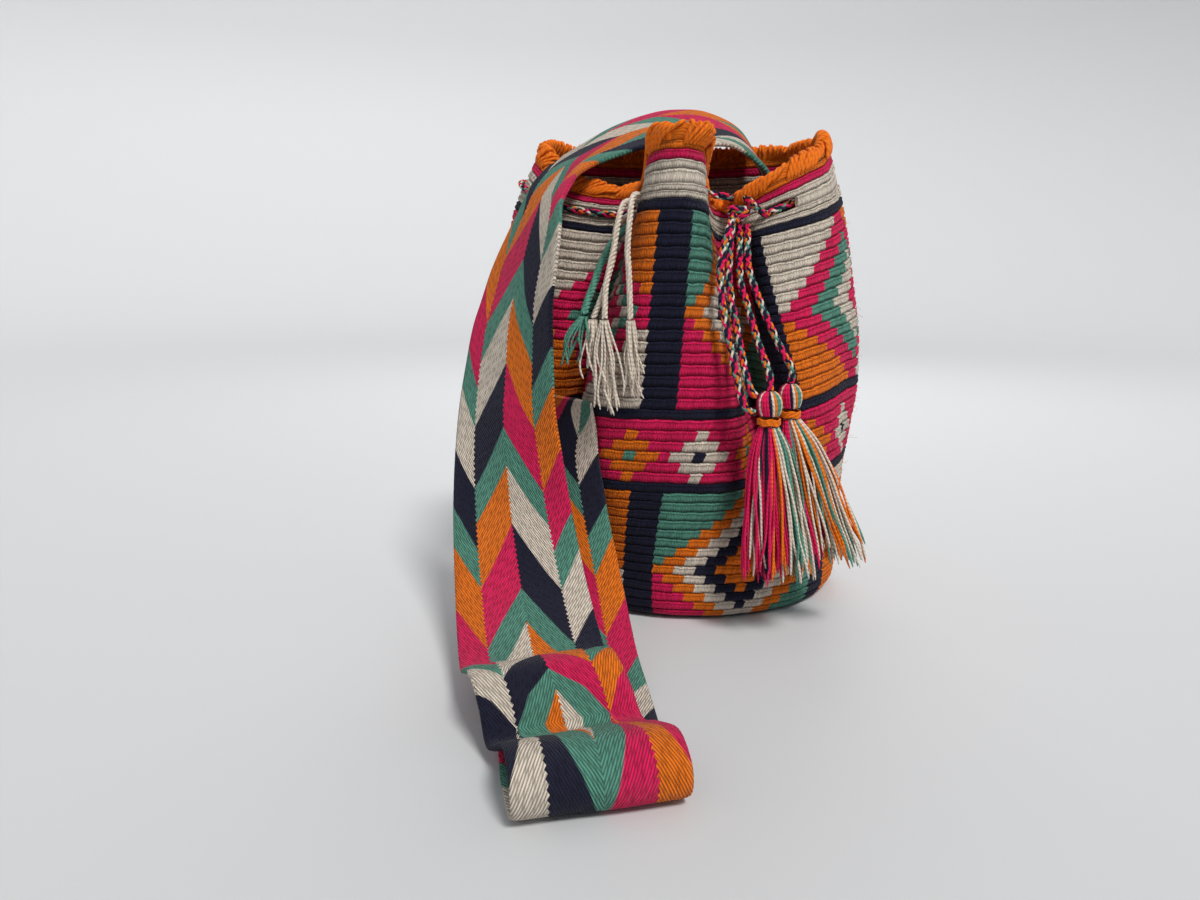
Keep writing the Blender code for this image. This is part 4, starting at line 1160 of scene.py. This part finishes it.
# Ties: centre line from the strap down, diameter, colour.
TIES = {
    "tie_cream_1": ([(-.0430, -.0880, .2700), (-.0520, -.1010, .2685), (-.0562, -.1085, .2560),
                     (-.0580, -.1110, .2440), (-.0612, -.1130, .2294), (-.0636, -.1155, .2168),
                     (-.0642, -.1180, .1990)],
                    TIE_D, "cream"),
    "tie_cream_2": ([(-.0440, -.0780, .2640), (-.0560, -.0940, .2560), (-.0585, -.1075, .2380),
                     (-.0625, -.1100, .2230), (-.0668, -.1100, .2100), (-.0712, -.1105, .1990)],
                    TIE_D, "cream"),
    "tie_cream_3": ([(-.0415, -.0930, .2735), (-.0470, -.1080, .2715), (-.0494, -.1170, .2560),
                     (-.0505, -.1185, .2401), (-.0498, -.1195, .2294), (-.0492, -.1200, .2163),
                     (-.0486, -.1210, .1990)],
                    TIE_D, "cream"),
    "tie_green": ([(-.0490, -.0640, .2560), (-.0590, -.0780, .2450), (-.0665, -.0900, .2312),
                   (-.0710, -.0985, .2189), (-.0745, -.1040, .2099), (-.0770, -.1085, .2010)],
                  TIE_D * 1.3, "green"),
}
# Their loose lower ends: stations as for yarn_fan, colour.
FRAYS = {
    "tie_fray_cream_1": ([(-.0642, -.1182, .1982, .0018, .0018), (-.0630, -.1200, .1850, .0050, .0025),
                          (-.0615, -.1220, .1680, .0070, .0028),
                          (-.0610, -.1225, .1530, .0050, .0020)], "cream"),
    "tie_fray_cream_2": ([(-.0713, -.1107, .1982, .0018, .0018), (-.0718, -.1135, .1900, .0026, .0020),
                          (-.0720, -.1150, .1780, .0036, .0022),
                          (-.0715, -.1160, .1680, .0026, .0018)], "cream"),
    "tie_fray_cream_3": ([(-.0486, -.1212, .1982, .0018, .0018), (-.0475, -.1222, .1830, .0030, .0022),
                          (-.0450, -.1235, .1680, .0040, .0024),
                          (-.0410, -.1250, .1560, .0034, .0018)], "cream"),
    "tie_knot_green": ([(-.0773, -.1092, .1999, .0020, .0020), (-.0810, -.1110, .1930, .0048, .0040),
                        (-.0840, -.1120, .1860, .0062, .0045), (-.0855, -.1130, .1740, .0055, .0032),
                        (-.0870, -.1130, .1640, .0035, .0020)], "green"),
}
TIE_SHOWN = 1.45         # thickness of the ties, to TIE_D


def make_ties():
    """Three-ply ties and their frayed ends."""
    rng = np.random.default_rng(5)
    for name, (pts, diameter, color) in TIES.items():
        diameter *= TIE_SHOWN
        line = even(spline(pts, 12), 0.0012)
        parts = twisted(line, diameter * 0.27, 3, diameter * 0.235, 0.0085, [color], sides=7)
        obj = piece(name + "_yarn", parts, PLY_MATS, [name])
    for name, (stations, color) in FRAYS.items():
        top = stations[0][2]
        fall = 1.4 if color == "cream" else 1.0
        spread = [(x, y, top - fall * (top - z), rx * 1.35, ry * 1.4) for x, y, z, rx, ry in stations]
        parts = yarn_fan(rng, spread, 15, 0.00072, [color], 0.026, loose=3.0)
        piece(name + "_yarn", parts, PLY_MATS, [name])


make_drawstring()
make_tails(make_tassels())
make_ties()
